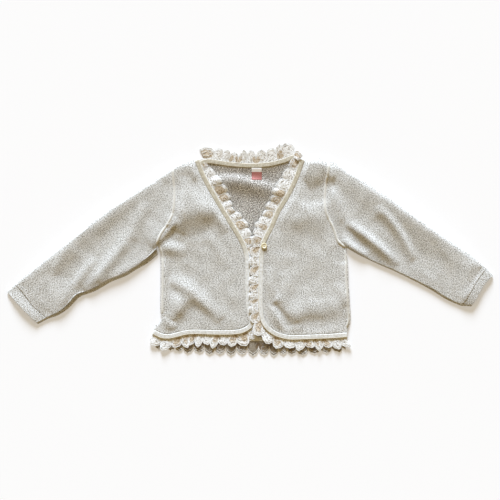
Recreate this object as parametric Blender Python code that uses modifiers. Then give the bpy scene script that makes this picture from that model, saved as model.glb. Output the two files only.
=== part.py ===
"""A small child's cardigan laid flat, front up.

It has knitted panels and sleeves, a cream edge binding and gathered lace. Sizes are in millimetres and
become metres where a mesh is made. X runs to the viewer's right, Y from hem to neck and Z up, with the
underside at zero. Sides are named for the wearer, so the left front is at positive X.
"""

from collections import namedtuple

import bmesh
import bpy
import numpy as np

MM = 0.001

# Walls and seams
KNIT = 2.0
LACE = 1.0
SEAM = 0.3
BACK_SEAM = 1.2
BAND_WIDTH = 7.4
BAND_THICKNESS = 2.4
LACE_TUCK = 3.0

# The gap inside a laid tube or between two panels stays between these, so nothing can be put into it.
LEAST_HOLLOW = 0.35
MOST_HOLLOW = 3.8

# The middle of each sleeve, cuff and front is puffed up a little, a front over this width from its folded
# edges.
SLEEVE_PUFF = 1.3
CUFF_PUFF = 1.7
FRONT_PUFF = 1.1
PUFF_WIDTH = 28.0
PUFF_SHAPE = 0.65

# The seam along a binding holds the knit at its own height, and lets go of it over this width.
HELD_WIDTH = 4.5
RELEASE_WIDTH = 45.0

# Where a front folds over into the back, its wall reaches out and its underside rolls down over this width.
# The roll ends a little below the armhole, and a row of the panel lies at its foot along the shoulder.
ROLL = 3.5
ROLL_DROP = 1.7
ROLL_OUT = 1.4
ROLL_END = 0.88
ROLL_ROW = 0.3
SHOULDER_START = 0.012

# Cross-section of a laid sleeve, from its lower fold: a ledge of the under layer, then the upper wall. The
# walls start this far in from the folds, and the hollow between them a little further in.
Rim = namedtuple("Rim", "inwards height")
LOWER_FOLD = (Rim(0.7, 0.7), Rim(0.0, 1.7), Rim(0.6, 2.8))
UPPER_FOLD = (Rim(0.8, 3.9), Rim(0.0, 2.2), Rim(0.8, 0.6))
LEDGE_HEIGHT = 3.1
LEDGE_TO_WALL = 1.2
WALL_IN = 2.8
UNDER_IN = 2.6
HOLLOW_IN = 0.6
CUFF_LEDGE = 2.6

# Cross-section of a binding, in parts of its half width and of its thickness
BAND_SECTION = (
    (-0.78, 0.0), (0.78, 0.0), (1.0, 0.3), (1.0, 0.67), (0.7, 1.0), (-0.7, 1.0), (-1.0, 0.67), (-1.0, 0.3),
)

# A fold is a ridge through three places, or a trough where its height is negative. Its two widths are on
# the left and on the right as it is followed.
Fold = namedtuple("Fold", "start middle end left right height")
FOLD_TAPER = 0.6
LEAST_RELIEF = 0.05

# Waves of the gathered lace along its sewn edge: where each crest is, how far it reaches, how much it
# rises, how far its tip leans on along the edge, and how high the layers below hold its sewn edge and its
# tip.
Wave = namedtuple("Wave", "at reach rise lean foot tip")
SCALLOP_NOTCH = 0.22
NOTCH_SHAPE = 1.5
LACE_END = 0.5

# One half of the garment. Inward is 1 where the cloth is to the left of its lines, or else -1. Lines of
# places run up the side and the armhole, out along the sleeve, up across the cuff and from the armhole to
# the neck. The edge is the middle of the binding: from the shoulder down to its corner, then along the hem.
# The armhole starts this many rows below the top of the side. Ledges are at even steps from the armhole to
# the cuff.
Half = namedtuple(
    "Half",
    "name inward side under_arm armhole shoulder edge corner sleeve_top sleeve_low cuff_seam cuff_end ledges "
    "front_folds sleeve_folds waves",
)

RIGHT = Half(
    name="right",
    inward=-1,
    side=(
        (-166, -138), (-162, -131), (-150, -120), (-152, -110), (-152, -62), (-152, -25), (-153, -8),
        (-158, 8),
    ),
    under_arm=1,
    armhole=(
        (-156.5, -10), (-158.5, 0), (-158, 8), (-152, 24), (-138, 45), (-131, 61), (-128, 100), (-130, 119),
        (-131, 137.5),
    ),
    shoulder=((-131, 137.5), (-117, 146), (-104, 150.5), (-94, 150.5)),
    edge=(
        (-90, 150), (-87, 143), (-82, 129), (-72, 110), (-51, 73), (-33, 44), (-14, 12), (-8, -3), (-5, -20),
        (-4, -60), (-3, -95), (0, -115), (3, -125), (-3, -134), (-17, -140), (-46, -142), (-85, -141),
        (-103, -141), (-118, -144), (-133, -148), (-148, -148), (-164, -141),
    ),
    corner=12,
    sleeve_top=(
        (-131, 137.5), (-163, 116), (-210, 87), (-257, 55), (-286, 31), (-337, -9), (-377, -41), (-399, -61),
    ),
    sleeve_low=(
        (-156.5, -10), (-173, -24), (-194, -36), (-210, -46), (-235, -56), (-263, -72), (-289, -82),
        (-298, -91), (-309, -102), (-326, -113), (-343, -119),
    ),
    cuff_seam=((-343, -119), (-356, -109), (-371, -95), (-388, -73), (-399, -61)),
    cuff_end=((-360, -128), (-379, -110), (-395, -93), (-413, -73)),
    ledges=(11, 9, 5, 4, 4, 5, 6, 4, 8, 6, 4, 3),
    front_folds=(
        Fold((-116, 36), (-76, 68), (-34, 42), 15, 12, 2.3),
        Fold((-108, 62), (-80, 87), (-55, 78), 22, 9, -1.1),
        Fold((-112, 122), (-114, 69), (-122, 14), 12, 8, 1.3),
        Fold((-153, 4), (-133, 1), (-108, -6), 10, 11, 1.4),
        Fold((-137, -52), (-100, -75), (-48, -122), 13, 9, 2.0),
        Fold((-132, -121), (-118, -98), (-103, -79), 18, 11, 1.9),
        Fold((-76, 26), (-55, 0), (-38, -36), 10, 8, 0.6),
        Fold((-148, -110), (-139, -124), (-126, -136), 7, 9, 1.0),
    ),
    sleeve_folds=(
        Fold((-150, 117), (-257, 46), (-388, -58), 16, 12, 1.2),
        Fold((-122, 50), (-146, 24), (-166, 2), 7, 16, 1.9),
        Fold((-176, 78), (-190, 46), (-199, 12), 11, 10, 1.0),
        Fold((-200, 31), (-237, -22), (-282, -72), 12, 10, 1.8),
        Fold((-262, -14), (-281, -40), (-298, -66), 9, 8, 1.2),
        Fold((-172, -14), (-212, -38), (-256, -62), 8, 12, 1.2),
        Fold((-312, -60), (-330, -86), (-348, -110), 10, 22, 1.6),
    ),
    waves=(
        Wave(10, 7, 0.6, 0, 2.4, 2.4), Wave(27, 20, 2.2, 3, 2.4, 2.4), Wave(45, 23, 3.2, 3, 2.4, 2.4),
        Wave(64, 25, 3.2, 3, 2.4, 2.4), Wave(78, 23, 2.8, 3, 2.4, 2.4), Wave(91, 19, 2.6, 2, 2.4, 2.4),
        Wave(103, 16, 3.2, 1, 2.4, 2.4), Wave(115, 22, 3.6, 2, 2.4, 2.4), Wave(133, 24, 2.6, 3, 2.4, 2.4),
        Wave(149, 21, 2.4, 1, 2.4, 2.4), Wave(164, 24, 1.2, 0, 2.4, 2.4), Wave(182, 18, 0.5, 0, 2.4, 2.4),
        Wave(202, 17, 0.4, 0, 2.4, 2.4), Wave(222, 16, 0.4, 0, 2.4, 2.4), Wave(242, 16, 0.4, 0, 2.4, 2.4),
        Wave(262, 16, 0.4, 0, 2.4, 2.4), Wave(280, 16, 0.4, 0, 2.4, 2.4), Wave(296, 17, 0.5, 0, 2.4, 2.4),
        Wave(309, 22, 0.7, 0, 2.4, 2.4), Wave(323, 26, 1.4, -1, 2.6, 2.6), Wave(340, 25, 2.4, -2, 2.7, 2.7),
        Wave(354, 24, 2.0, 0, 2.7, 2.7), Wave(369, 25, 2.6, 1, 2.7, 2.7), Wave(382, 23, 2.0, -1, 2.7, 2.7),
        Wave(395, 25, 2.8, 1, 2.7, 2.7), Wave(408, 23, 2.2, 0, 2.7, 2.7), Wave(421, 24, 2.8, 2, 2.7, 2.7),
        Wave(436, 22, 2.2, 3, 2.7, 2.7), Wave(451, 21, 2.8, 3, 2.7, 2.7), Wave(465, 21, 2.0, 3, 2.7, 2.7),
    ),
)

LEFT = Half(
    name="left",
    inward=1,
    side=((168, -144), (167, -137), (171, -120), (169, -87), (167, -53), (166, -14), (164, 2)),
    under_arm=0,
    armhole=((164, 2), (150, 13), (141, 37), (129, 62), (127, 87), (129, 114), (132, 129), (134, 149)),
    shoulder=((134, 149), (122, 153), (106, 154), (94, 152)),
    edge=(
        (89, 151), (87, 145), (80, 124), (64, 90), (47, 62), (38, 40), (30, 25), (24, 14), (21, 0), (19, -32),
        (18, -84), (19, -108), (24, -126), (31, -135), (44, -144), (66, -150), (85, -150), (112, -149),
        (138, -148), (165, -146),
    ),
    corner=13,
    sleeve_top=(
        (134, 149), (143, 148), (162, 134), (187, 120), (219, 101), (265, 67), (302, 41), (343, 13),
        (377, -11), (402, -34),
    ),
    sleeve_low=((164, 2), (182, -9), (215, -25), (247, -39), (302, -67), (335, -87), (358, -97)),
    cuff_seam=((358, -97), (366, -88), (375, -73), (387, -53), (402, -34)),
    cuff_end=((376, -98), (388, -79), (397, -62), (413, -45)),
    ledges=(2.6, 2.6),
    front_folds=(
        Fold((78, 84), (102, 110), (124, 134), 10, 16, -1.3),
        Fold((50, 46), (85, 55), (130, 50), 24, 12, 1.7),
        Fold((52, -40), (60, -66), (54, -92), 18, 12, 0.8),
        Fold((36, -90), (49, -118), (62, -142), 8, 8, 1.3),
        Fold((76, -113), (111, -102), (152, -108), 17, 10, 1.5),
        Fold((78, -131), (119, -124), (160, -112), 9, 12, -1.0),
        Fold((146, 6), (153, -8), (156, -24), 9, 9, -1.6),
        Fold((146, -58), (156, -76), (160, -98), 8, 8, 0.7),
    ),
    sleeve_folds=(
        Fold((150, 134), (262, 60), (396, -36), 12, 20, 1.5),
        Fold((215, 66), (243, 30), (280, -20), 8, 12, 1.8),
        Fold((166, 47), (214, 10), (262, -38), 9, 9, 2.1),
        Fold((155, 17), (174, 2), (200, -14), 7, 6, 1.4),
        Fold((160, 36), (180, 16), (202, 0), 6, 7, -1.0),
        Fold((138, 104), (148, 76), (157, 44), 9, 9, 1.2),
        Fold((372, -20), (369, -53), (358, -86), 8, 14, 1.2),
    ),
    waves=(
        Wave(9, 7, 0.6, 0, 2.4, 2.4), Wave(30, 23, 2.4, 3, 2.4, 2.4), Wave(53, 26, 3.2, 3, 2.4, 2.4),
        Wave(69, 26, 3.0, 3, 2.4, 2.4), Wave(82, 22, 2.4, 2, 2.4, 2.4), Wave(95, 23, 3.6, 2, 2.4, 2.4),
        Wave(108, 22, 3.0, 2, 2.4, 2.6), Wave(120, 24, 2.4, 2, 2.6, 3.6), Wave(133, 27, 2.6, 2, 3.0, 5.0),
        Wave(144, 23, 2.2, 2, 3.6, 6.0), Wave(156, 21, 3.2, 0, 4.2, 6.8), Wave(172, 20, 2.2, 0, 4.2, 6.8),
        Wave(189, 22, 4.6, 0, 4.2, 6.8), Wave(205, 19, 2.2, 0, 4.2, 6.8), Wave(221, 21, 4.8, 0, 4.2, 6.8),
        Wave(234, 19, 2.4, 0, 4.2, 6.8), Wave(247, 21, 4.4, 0, 4.2, 6.8), Wave(257, 19, 2.2, 0, 4.2, 6.8),
        Wave(268, 21, 4.2, 0, 4.2, 6.8), Wave(281, 20, 2.2, 1, 4.2, 6.6), Wave(297, 24, 2.6, 2, 4.2, 6.2),
        Wave(314, 22, 2.0, 2, 3.6, 4.8), Wave(331, 21, 2.4, 0, 2.7, 2.7), Wave(347, 20, 2.8, 0, 2.7, 2.7),
        Wave(364, 21, 2.2, -1, 2.7, 2.7), Wave(381, 20, 2.8, 2, 2.7, 2.7), Wave(396, 21, 2.2, 0, 2.7, 2.7),
        Wave(410, 20, 2.6, 1, 2.7, 2.7), Wave(424, 21, 2.2, 4, 2.7, 2.7), Wave(438, 20, 2.4, 9, 2.7, 2.7),
    ),
)

# Back, neck and back hem
BACK_FOLDS = (
    Fold((-62, 113), (-10, 113), (56, 92), 9, 16, 2.0),
)
NECK_EDGE = (
    (-78, 147), (-71, 148.5), (-62, 147.5), (-31, 143), (2, 141), (32, 143), (48, 146.5), (60, 150),
    (68, 153.5),
)
NECK_LACE_END = ((75, 152.5), (81, 148.5))
BACK_HEM_EDGE = ((-156, -143), (-120, -147), (-60, -151), (0, -153), (60, -153), (120, -151), (160, -148))
NECK_WAVES = (
    Wave(7, 24, 3.2, -5, 0, 0), Wave(23, 24, 3.8, 0, 0, 0), Wave(36, 24, 3.4, 1, 0, 0),
    Wave(50, 21, 3.2, 0, 0, 0), Wave(66, 27, 4.4, 1, 0, 0), Wave(80, 27, 4.2, 0, 0, 0),
    Wave(99, 27, 4.6, 1, 0, 0), Wave(119, 27, 4.6, 1, 0, 0), Wave(136, 27, 4.2, 2, 0, 0),
    Wave(148, 26, 2.6, 0, 0, 0.8), Wave(160, 13, 1.0, 0, 6.5, 7.2),
)
BACK_HEM_WAVES = (
    Wave(6, 20, 0.8, -2, 0.3, 0), Wave(24, 21, 0.9, 0, 0.3, 0), Wave(38, 20, 0.8, 0, 0.3, 0),
    Wave(52, 22, 1.0, 0, 0.3, 0), Wave(71, 22, 0.9, 1, 0.3, 0), Wave(89, 22, 1.0, 0, 0.3, 0),
    Wave(107, 22, 0.8, -1, 0.3, 0), Wave(125, 22, 1.0, 0, 0.3, 0), Wave(143, 22, 0.9, 1, 0.3, 0),
    Wave(162, 22, 1.0, 0, 0.3, 0), Wave(181, 22, 0.8, 0, 0.3, 0), Wave(198, 22, 1.0, -1, 0.3, 0),
    Wave(213, 22, 0.9, 0, 0.3, 0), Wave(227, 22, 0.9, 0, 0.3, 0), Wave(245, 22, 1.0, 1, 0.3, 0),
    Wave(266, 22, 0.9, 0, 0.3, 0), Wave(285, 21, 0.8, 1, 0.3, 0), Wave(303, 20, 0.9, 4, 0.3, 0),
)

BUTTON_AT = (24.0, 5.0)
BUTTON_RADIUS = 5.0
BUTTON_THICKNESS = 2.2
BUTTON_EDGE = 0.5
BUTTON_HOLE_RADIUS = 0.8
BUTTON_HOLES_APART = 2.8
BUTTON_SIDES = 28
BUTTON_HOLE_SIDES = 10
LABEL_AT = (11.5, 127.0)
LABEL_SIZE = (17.0, 20.0)
LABEL_THICKNESS = 1.0
LABEL_CLEARANCE = 0.6
LABEL_COLUMNS = 3
LABEL_ROWS = 6

# How finely the walls are cut, as parts of a width or as numbers of rows. The places along an armhole are
# shared by the sleeve and the front. A line is read at this many places where it has to be fine.
SIDE_ROWS = 14
ARMHOLE_COLUMNS = (0.0, 0.11, 0.2, 0.3, 0.4, 0.5, 0.6, 0.7, 0.8, 0.9, 1.0)
UNDER_COLUMNS = (0.0, 0.11, 0.2, 0.3, 0.4, 0.6, 0.8, 1.0)
FRONT_COLUMNS = (0.0, 0.012, 0.03, 0.09, 0.16, 0.24, 0.33, 0.42, 0.51, 0.6, 0.69, 0.78, 0.87, 0.96, 1.0)
LEVEL_COLUMNS = 3
BACK_COLUMNS = 16
BACK_SIDE_ROWS = 8
BACK_ARMHOLE_ROWS = 15
BACK_SHOULDER_AT = (0.12, 0.4, 0.65, 0.9)
NECK_SECTIONS = 18
HEM_SECTIONS = 24
SLEEVE_SECTIONS = 21
CUFF_SECTIONS = 4
LACE_ROWS = (0.0, 0.16, 0.58, 1.0)
WAVE_STEPS = 4
FOLD_STEPS = 48
FINE = 800

COLOURS = {
    "knit": (0.60, 0.57, 0.51),
    "band": (0.78, 0.72, 0.58),
    "lace": (0.85, 0.80, 0.70),
    "button": (0.86, 0.80, 0.60),
    "label": (0.90, 0.88, 0.85),
}
ROUGHNESS = {"knit": 0.95, "band": 0.8, "lace": 0.9, "button": 0.3, "label": 0.8}


def lengths(line):
    """Distance along a line of points, at each of them."""
    steps = np.linalg.norm(np.diff(line[:, :2], axis=0), axis=1)
    return np.concatenate([[0.0], np.cumsum(steps)])


def smooth_line(points, at):
    """The places at the given fractions of the length of a smooth line through the points."""
    points = np.asarray(points, float)
    steps = np.linalg.norm(np.diff(points, axis=0), axis=1) ** 0.5
    knots = np.concatenate([[0.0], np.cumsum(steps)])
    slopes = np.gradient(points, knots, axis=0)
    fine = np.linspace(0.0, knots[-1], 16 * len(points))
    i = np.clip(np.searchsorted(knots, fine, side="right") - 1, 0, len(points) - 2)
    span = (knots[i + 1] - knots[i])[:, None]
    t = (fine - knots[i])[:, None] / span
    line = (
        (2 * t**3 - 3 * t**2 + 1) * points[i]
        + (t**3 - 2 * t**2 + t) * span * slopes[i]
        + (3 * t**2 - 2 * t**3) * points[i + 1]
        + (t**3 - t**2) * span * slopes[i + 1]
    )
    along = lengths(line)
    wanted = np.asarray(at) * along[-1]
    return np.column_stack([np.interp(wanted, along, column) for column in line.T])


def left_of(line):
    """Unit vectors that point to the left as the line is followed."""
    ahead = np.gradient(line[:, :2], axis=0)
    ahead /= np.linalg.norm(ahead, axis=1)[:, None]
    return np.column_stack([-ahead[:, 1], ahead[:, 0]])


def moved(line, to_left):
    """The line moved sideways."""
    return line + left_of(line) * to_left


def fractions(line):
    """How far along a line its places are, from 0 to 1."""
    along = lengths(line)
    return along / along[-1]


def distance_to(line, x, y):
    """Distance from each place to the nearest stretch of a line."""
    start, step = line[:-1], np.diff(line, axis=0)
    off = np.stack([x, y], -1)[..., None, :] - start
    t = np.clip((off * step).sum(-1) / (step**2).sum(-1), 0, 1)
    return np.linalg.norm(off - t[..., None] * step, axis=-1).min(-1)


def patch(bottom, top, left, right, across, up):
    """Grid of places inside four lines. Bottom and top run from left to right, left and right run upwards."""
    u = np.asarray(across)[None, :, None]
    v = np.asarray(up)[:, None, None]
    ruled = (1 - v) * bottom[None] + v * top[None] + (1 - u) * left[:, None] + u * right[:, None]
    lower = (1 - v) * ((1 - u) * bottom[0] + u * bottom[-1])
    upper = v * ((1 - u) * top[0] + u * top[-1])
    return ruled - lower - upper


def relief(x, y, folds):
    """Height of all the folds at each place."""
    total = np.zeros_like(x)
    t = np.linspace(0.0, 1.0, FOLD_STEPS + 1)
    for fold in folds:
        start, middle, end = (np.array(place, float) for place in (fold.start, fold.middle, fold.end))
        bend = 2 * middle - 0.5 * (start + end)
        line = ((1 - t) ** 2)[:, None] * start + (2 * t * (1 - t))[:, None] * bend + (t**2)[:, None] * end
        side = left_of(line)
        off_x = x[..., None] - line[:, 0]
        off_y = y[..., None] - line[:, 1]
        gap = np.hypot(off_x, off_y)
        near = gap.argmin(axis=-1)[..., None]
        to_left = np.take_along_axis(off_x * side[:, 0] + off_y * side[:, 1], near, -1)[..., 0]
        width = np.where(to_left > 0, fold.left, fold.right)
        taper = np.sin(np.pi * t[near[..., 0]]) ** FOLD_TAPER
        total += fold.height * taper * np.exp(-((gap.min(axis=-1) / width) ** 2))
    return total


def material(name):
    made = bpy.data.materials.new(name)
    made.use_nodes = True
    surface = made.node_tree.nodes["Principled BSDF"]
    surface.inputs["Base Color"].default_value = (*COLOURS[name], 1.0)
    surface.inputs["Roughness"].default_value = ROUGHNESS[name]
    surface.inputs["Metallic"].default_value = 0.0
    return made


def mesh_object(name, points, faces, finish):
    """A smooth shaded object from places in millimetres."""
    mesh = bpy.data.meshes.new(name)
    mesh.from_pydata((np.asarray(points) * MM).tolist(), [], faces)
    mesh.materials.append(finish)
    mesh.shade_smooth()
    obj = bpy.data.objects.new(name, mesh)
    CARDIGAN.objects.link(obj)
    return obj


def grid_faces(rows, columns):
    """Quads of a grid of points that are stored row by row."""
    quads = []
    for row in range(rows - 1):
        for column in range(columns - 1):
            first = row * columns + column
            quads.append((first, first + 1, first + columns + 1, first + columns))
    return quads


def cloth(name, grid, thickness, finish):
    """A wall of cloth that stands on the grid of places."""
    obj = mesh_object(name, grid.reshape(-1, 3), grid_faces(*grid.shape[:2]), finish)
    if obj.data.polygons[0].normal.z < 0:
        obj.data.flip_normals()
    wall = obj.modifiers.new("Wall", "SOLIDIFY")
    wall.thickness = thickness * MM
    wall.offset = 1.0


def turn_outwards(obj):
    """Turns every face of a closed mesh outwards."""
    build = bmesh.new()
    build.from_mesh(obj.data)
    bmesh.ops.recalc_face_normals(build, faces=build.faces)
    build.to_mesh(obj.data)
    build.free()


def loops_between(sections, first, size, whole):
    """Quads between the rings of size points that start at first in each section of whole points."""
    quads = []
    for section in range(sections - 1):
        for i in range(size):
            here = section * whole + first + i
            beside = section * whole + first + (i + 1) % size
            quads.append((here, beside, beside + whole, here + whole))
    return quads


def bar(name, rings, finish):
    """A solid through rings of points, closed at both ends."""
    sections, size = rings.shape[:2]
    faces = loops_between(sections, 0, size, size)
    faces.append(tuple(range(size)))
    faces.append(tuple(range((sections - 1) * size, sections * size)))
    turn_outwards(mesh_object(name, rings.reshape(-1, 3), faces, finish))


def tube(name, outer, inner, pairs, finish):
    """An open tube of cloth with an outer and an inner ring at each section. Pairs joins them at both ends."""
    sections, outside = outer.shape[:2]
    inside = inner.shape[1]
    whole = outside + inside
    faces = loops_between(sections, 0, outside, whole) + loops_between(sections, outside, inside, whole)
    for end in (0, (sections - 1) * whole):
        for i in range(outside):
            after = (i + 1) % outside
            corners = [i, after, outside + pairs[after], outside + pairs[i]]
            faces.append(tuple(end + corner for corner in dict.fromkeys(corners)))
    points = np.concatenate([outer, inner], axis=1).reshape(-1, 3)
    turn_outwards(mesh_object(name, points, faces, finish))


def at_lengths(line, distances):
    """The places at the given distances along a line of points."""
    along = lengths(line)
    return np.column_stack([np.interp(distances, along, line[:, 0]), np.interp(distances, along, line[:, 1])])


def between(line, columns, first, last):
    """The line's places at the given columns, but for its two ends, which are at lengths of their own."""
    at = np.interp(columns, ARMHOLE_COLUMNS, lengths(line))
    at[0], at[-1] = first, last
    return at_lengths(line, at)


def tube_rings(start, end, low, top, sections, folds, ledges, puff):
    """Outer and inner rings of a tube laid flat. Start and end cross it from its lower edge to its upper."""
    along = np.linspace(0, 1, sections)
    columns = np.asarray(ARMHOLE_COLUMNS)
    under = np.asarray(UNDER_COLUMNS)
    plan = patch(start, end, smooth_line(low, along), smooth_line(top, along), columns, along)
    ledges = np.interp(along, np.linspace(0, 1, len(ledges)), ledges)
    outer, inner = [], []
    for line, ledge in zip(plan, ledges):
        width = lengths(line)[-1]
        wall_from, wall_to = ledge + LEDGE_TO_WALL, width - WALL_IN
        wall = between(line, columns, wall_from, wall_to)
        beneath = between(line, under, UNDER_IN, width - UNDER_IN)[::-1]
        hollow_above = between(line, columns, wall_from + HOLLOW_IN, wall_to - HOLLOW_IN)
        hollow_beneath = between(line, under, wall_from + HOLLOW_IN, wall_to - HOLLOW_IN)[::-1]
        hollow = LEAST_HOLLOW + puff * np.sin(np.pi * columns) ** PUFF_SHAPE + relief(*wall.T, folds)
        height = KNIT + np.clip(hollow, LEAST_HOLLOW, MOST_HOLLOW)
        lower_fold = at_lengths(line, [rim.inwards for rim in LOWER_FOLD] + [ledge])
        upper_fold = at_lengths(line, [width - rim.inwards for rim in UPPER_FOLD])
        outer.append(
            np.vstack([
                np.column_stack([lower_fold, [rim.height for rim in LOWER_FOLD] + [LEDGE_HEIGHT]]),
                np.column_stack([wall, height + KNIT]),
                np.column_stack([upper_fold, [rim.height for rim in UPPER_FOLD]]),
                np.column_stack([beneath, np.zeros(len(under))]),
            ])
        )
        inner.append(
            np.vstack([
                np.column_stack([hollow_above, height]),
                np.column_stack([hollow_beneath, np.full(len(under), KNIT)]),
            ])
        )
    upper, lower = len(columns), len(under)
    pairs = [upper + lower - 1] * 2 + [0] * 2 + list(range(upper))
    pairs += [upper - 1] + [upper] * 2 + list(range(upper, upper + lower))
    return np.array(outer), np.array(inner), pairs


def binding_line(points, corner, rows, columns):
    """A front's edge cut at the given fractions, down to its corner and then along the hem."""
    fine = smooth_line(points, np.linspace(0, 1, FINE))
    cut = np.hypot(*(fine - np.array(points[corner])).T).argmin() / (FINE - 1)
    return smooth_line(points, np.concatenate([cut * rows, cut + (1 - cut) * columns[1:]]))


def front_side(half):
    """A front's outer edge: up the side and up the armhole, with a row at the foot of the shoulder's roll."""
    rows = np.linspace(0, 1, SIDE_ROWS + half.under_arm)
    below = moved(smooth_line(half.side, rows), half.inward * ROLL_OUT)
    above = moved(smooth_line(half.armhole, ARMHOLE_COLUMNS), half.inward * SEAM)
    roll_row = above[-1] + (above[-2] - above[-1]) * ROLL_ROW
    return np.vstack([below[:-1], above[half.under_arm : -1], roll_row, above[-1]])


def front_plan(half):
    """Grid of a front's places, from side to binding and from hem up, and the middle line of its binding."""
    columns = np.asarray(FRONT_COLUMNS)
    outer = front_side(half)
    line = binding_line(half.edge, half.corner, 1 - fractions(outer)[::-1], 1 - columns[::-1])
    inside = moved(line, half.inward * (BAND_WIDTH / 2 + SEAM))
    inner = inside[: len(outer)][::-1]
    bottom = inside[len(outer) - 1 :][::-1]
    across = SHOULDER_START + (1 - SHOULDER_START) * columns
    top = moved(smooth_line(half.shoulder, across), half.inward * ROLL_OUT)
    outer[0], outer[-1], top[-1] = bottom[0], top[0], inner[-1]
    return patch(bottom, top, outer, inner, columns, fractions(outer)), line


def front_height(half, x, y, line):
    """How high a front's underside is, before its edges roll down."""
    off = np.hypot(x[..., None] - line[:, 0], y[..., None] - line[:, 1])
    held = foot_at(half.waves, lengths(line))[off.argmin(-1)]
    released = np.clip((off.min(-1) - HELD_WIDTH) / RELEASE_WIDTH, 0, 1)
    level = held + (KNIT + LEAST_HOLLOW - held) * released
    puff = FRONT_PUFF * np.clip(distance_to_roll(half, x, y) / PUFF_WIDTH, 0, 1) ** PUFF_SHAPE
    z = np.maximum(level + puff + relief(x, y, half.front_folds), level)
    return np.clip(z, KNIT + LEAST_HOLLOW, np.maximum(KNIT + MOST_HOLLOW, held))


def distance_to_roll(half, x, y):
    """Distance from a front's folded side and shoulder."""
    side = moved(smooth_line(half.side, np.linspace(0, ROLL_END, FINE // 16)), half.inward * ROLL_OUT)
    shoulder = moved(smooth_line(half.shoulder, np.linspace(0, 1, FINE // 16)), half.inward * ROLL_OUT)
    return np.minimum(distance_to(side, x, y), distance_to(shoulder, x, y))


def front(half, finish):
    """A front panel. Its walls stand upright at its seams, so its last rows there are level."""
    plan, line = front_plan(half)
    x, y = plan[..., 0], plan[..., 1]
    z = front_height(half, x, y, line)
    z[:, -1] = z[:, -2]
    z[SIDE_ROWS:, 0] = z[SIDE_ROWS:, 1]
    z[0, LEVEL_COLUMNS:] = z[1, LEVEL_COLUMNS:]
    z -= ROLL_DROP * (1 - np.clip(distance_to_roll(half, x, y) / ROLL, 0, 1)) ** 2
    cloth(f"front_{half.name}", np.dstack([x, y, z]), KNIT, finish)
    return line


def sleeve_and_cuff(half, finish):
    """A sleeve and its turned hem: two tubes that meet along the cuff's seam."""
    armhole = smooth_line(half.armhole, ARMHOLE_COLUMNS)
    seam = smooth_line(half.cuff_seam, ARMHOLE_COLUMNS)
    end = smooth_line(half.cuff_end, ARMHOLE_COLUMNS)
    start = seam + (end - seam) * SEAM / np.linalg.norm(end - seam, axis=1)[:, None]
    low, top = (start[0], end[0]), (start[-1], end[-1])
    folds, ledges = half.sleeve_folds, (CUFF_LEDGE, CUFF_LEDGE)
    sleeve = tube_rings(
        armhole, seam, half.sleeve_low, half.sleeve_top, SLEEVE_SECTIONS, folds, half.ledges, SLEEVE_PUFF
    )
    cuff = tube_rings(start, end, low, top, CUFF_SECTIONS, folds, ledges, CUFF_PUFF)
    tube(f"sleeve_{half.name}", *sleeve, finish)
    tube(f"cuff_{half.name}", *cuff, finish)


def back_side(half, start):
    """The back's outer edge keeps clear of the rolled side and of the sleeve."""
    below = smooth_line(half.side, np.linspace(0, 1, BACK_SIDE_ROWS))
    above = smooth_line(half.armhole, np.linspace(start, 1, BACK_ARMHOLE_ROWS))
    rolled = half.inward * (ROLL_OUT + ROLL)
    return np.vstack([moved(below, rolled)[:-1], moved(above, half.inward * BACK_SEAM)])


def back_shoulder(half):
    """The back's upper edge keeps clear of the rolled shoulder."""
    inset = half.inward * (ROLL_OUT + ROLL + SEAM)
    return moved(smooth_line(half.shoulder, BACK_SHOULDER_AT), inset)


def back_height(x, y):
    """The back lies flat but for the crease across its top, which shows inside the neck."""
    z = relief(x, y, BACK_FOLDS)
    return np.where(z < LEAST_RELIEF, 0.0, z)


def back(finish):
    columns = np.linspace(0, 1, BACK_COLUMNS)
    left = back_side(RIGHT, ARMHOLE_COLUMNS[RIGHT.under_arm])
    right = back_side(LEFT, ARMHOLE_COLUMNS[LEFT.under_arm])
    neck = moved(smooth_line(NECK_EDGE, np.linspace(0, 1, NECK_SECTIONS)), -(BAND_WIDTH / 2 + BACK_SEAM))
    top = np.vstack([back_shoulder(RIGHT), neck, back_shoulder(LEFT)[::-1]])
    top = at_lengths(top, columns * lengths(top)[-1])
    bottom = moved(smooth_line(BACK_HEM_EDGE, columns), BAND_WIDTH / 2 + SEAM)
    left[0], left[-1] = bottom[0], top[0]
    right[0], right[-1] = bottom[-1], top[-1]
    plan = patch(bottom, top, left, right, columns, fractions(left))
    x, y = plan[..., 0], plan[..., 1]
    cloth("back", np.dstack([x, y, back_height(x, y)]), KNIT, finish)


def foot_at(waves, along):
    """How high the sewn edge of the lace lies, along the edge."""
    return np.interp(along, [wave.at for wave in waves], [wave.foot for wave in waves])


def band(name, line, underside, finish):
    """A binding: a soft flat bar along the line."""
    section = np.array(BAND_SECTION) * (BAND_WIDTH / 2, BAND_THICKNESS)
    rings = []
    for place, beside, low in zip(line, left_of(line), underside):
        rings.append([(*(place + beside * across), low + up) for across, up in section])
    bar(name, np.array(rings), finish)


def lace_stations(waves, total):
    """Where a lace is cut along its edge, how much of a crest it is there, and its waves' columns there."""
    at = np.array([wave.at for wave in waves], float)
    at = np.concatenate([[2 * at[0] - at[1]], at, [2 * at[-1] - at[-2]]])
    turns = len(at) - 1
    along = np.interp(np.linspace(0, turns, turns * WAVE_STEPS + 1), np.arange(turns + 1), at)
    along = np.concatenate([[0.0], along[(along > LACE_END) & (along < total - LACE_END)], [total]])
    crest = 0.5 + 0.5 * np.cos(2 * np.pi * np.interp(along, at, np.arange(turns + 1)))
    columns = {}
    for part in Wave._fields[1:]:
        values = [getattr(wave, part) for wave in (waves[0], *waves, waves[-1])]
        columns[part] = np.interp(along, at, values)
    return along, crest, columns


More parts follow.
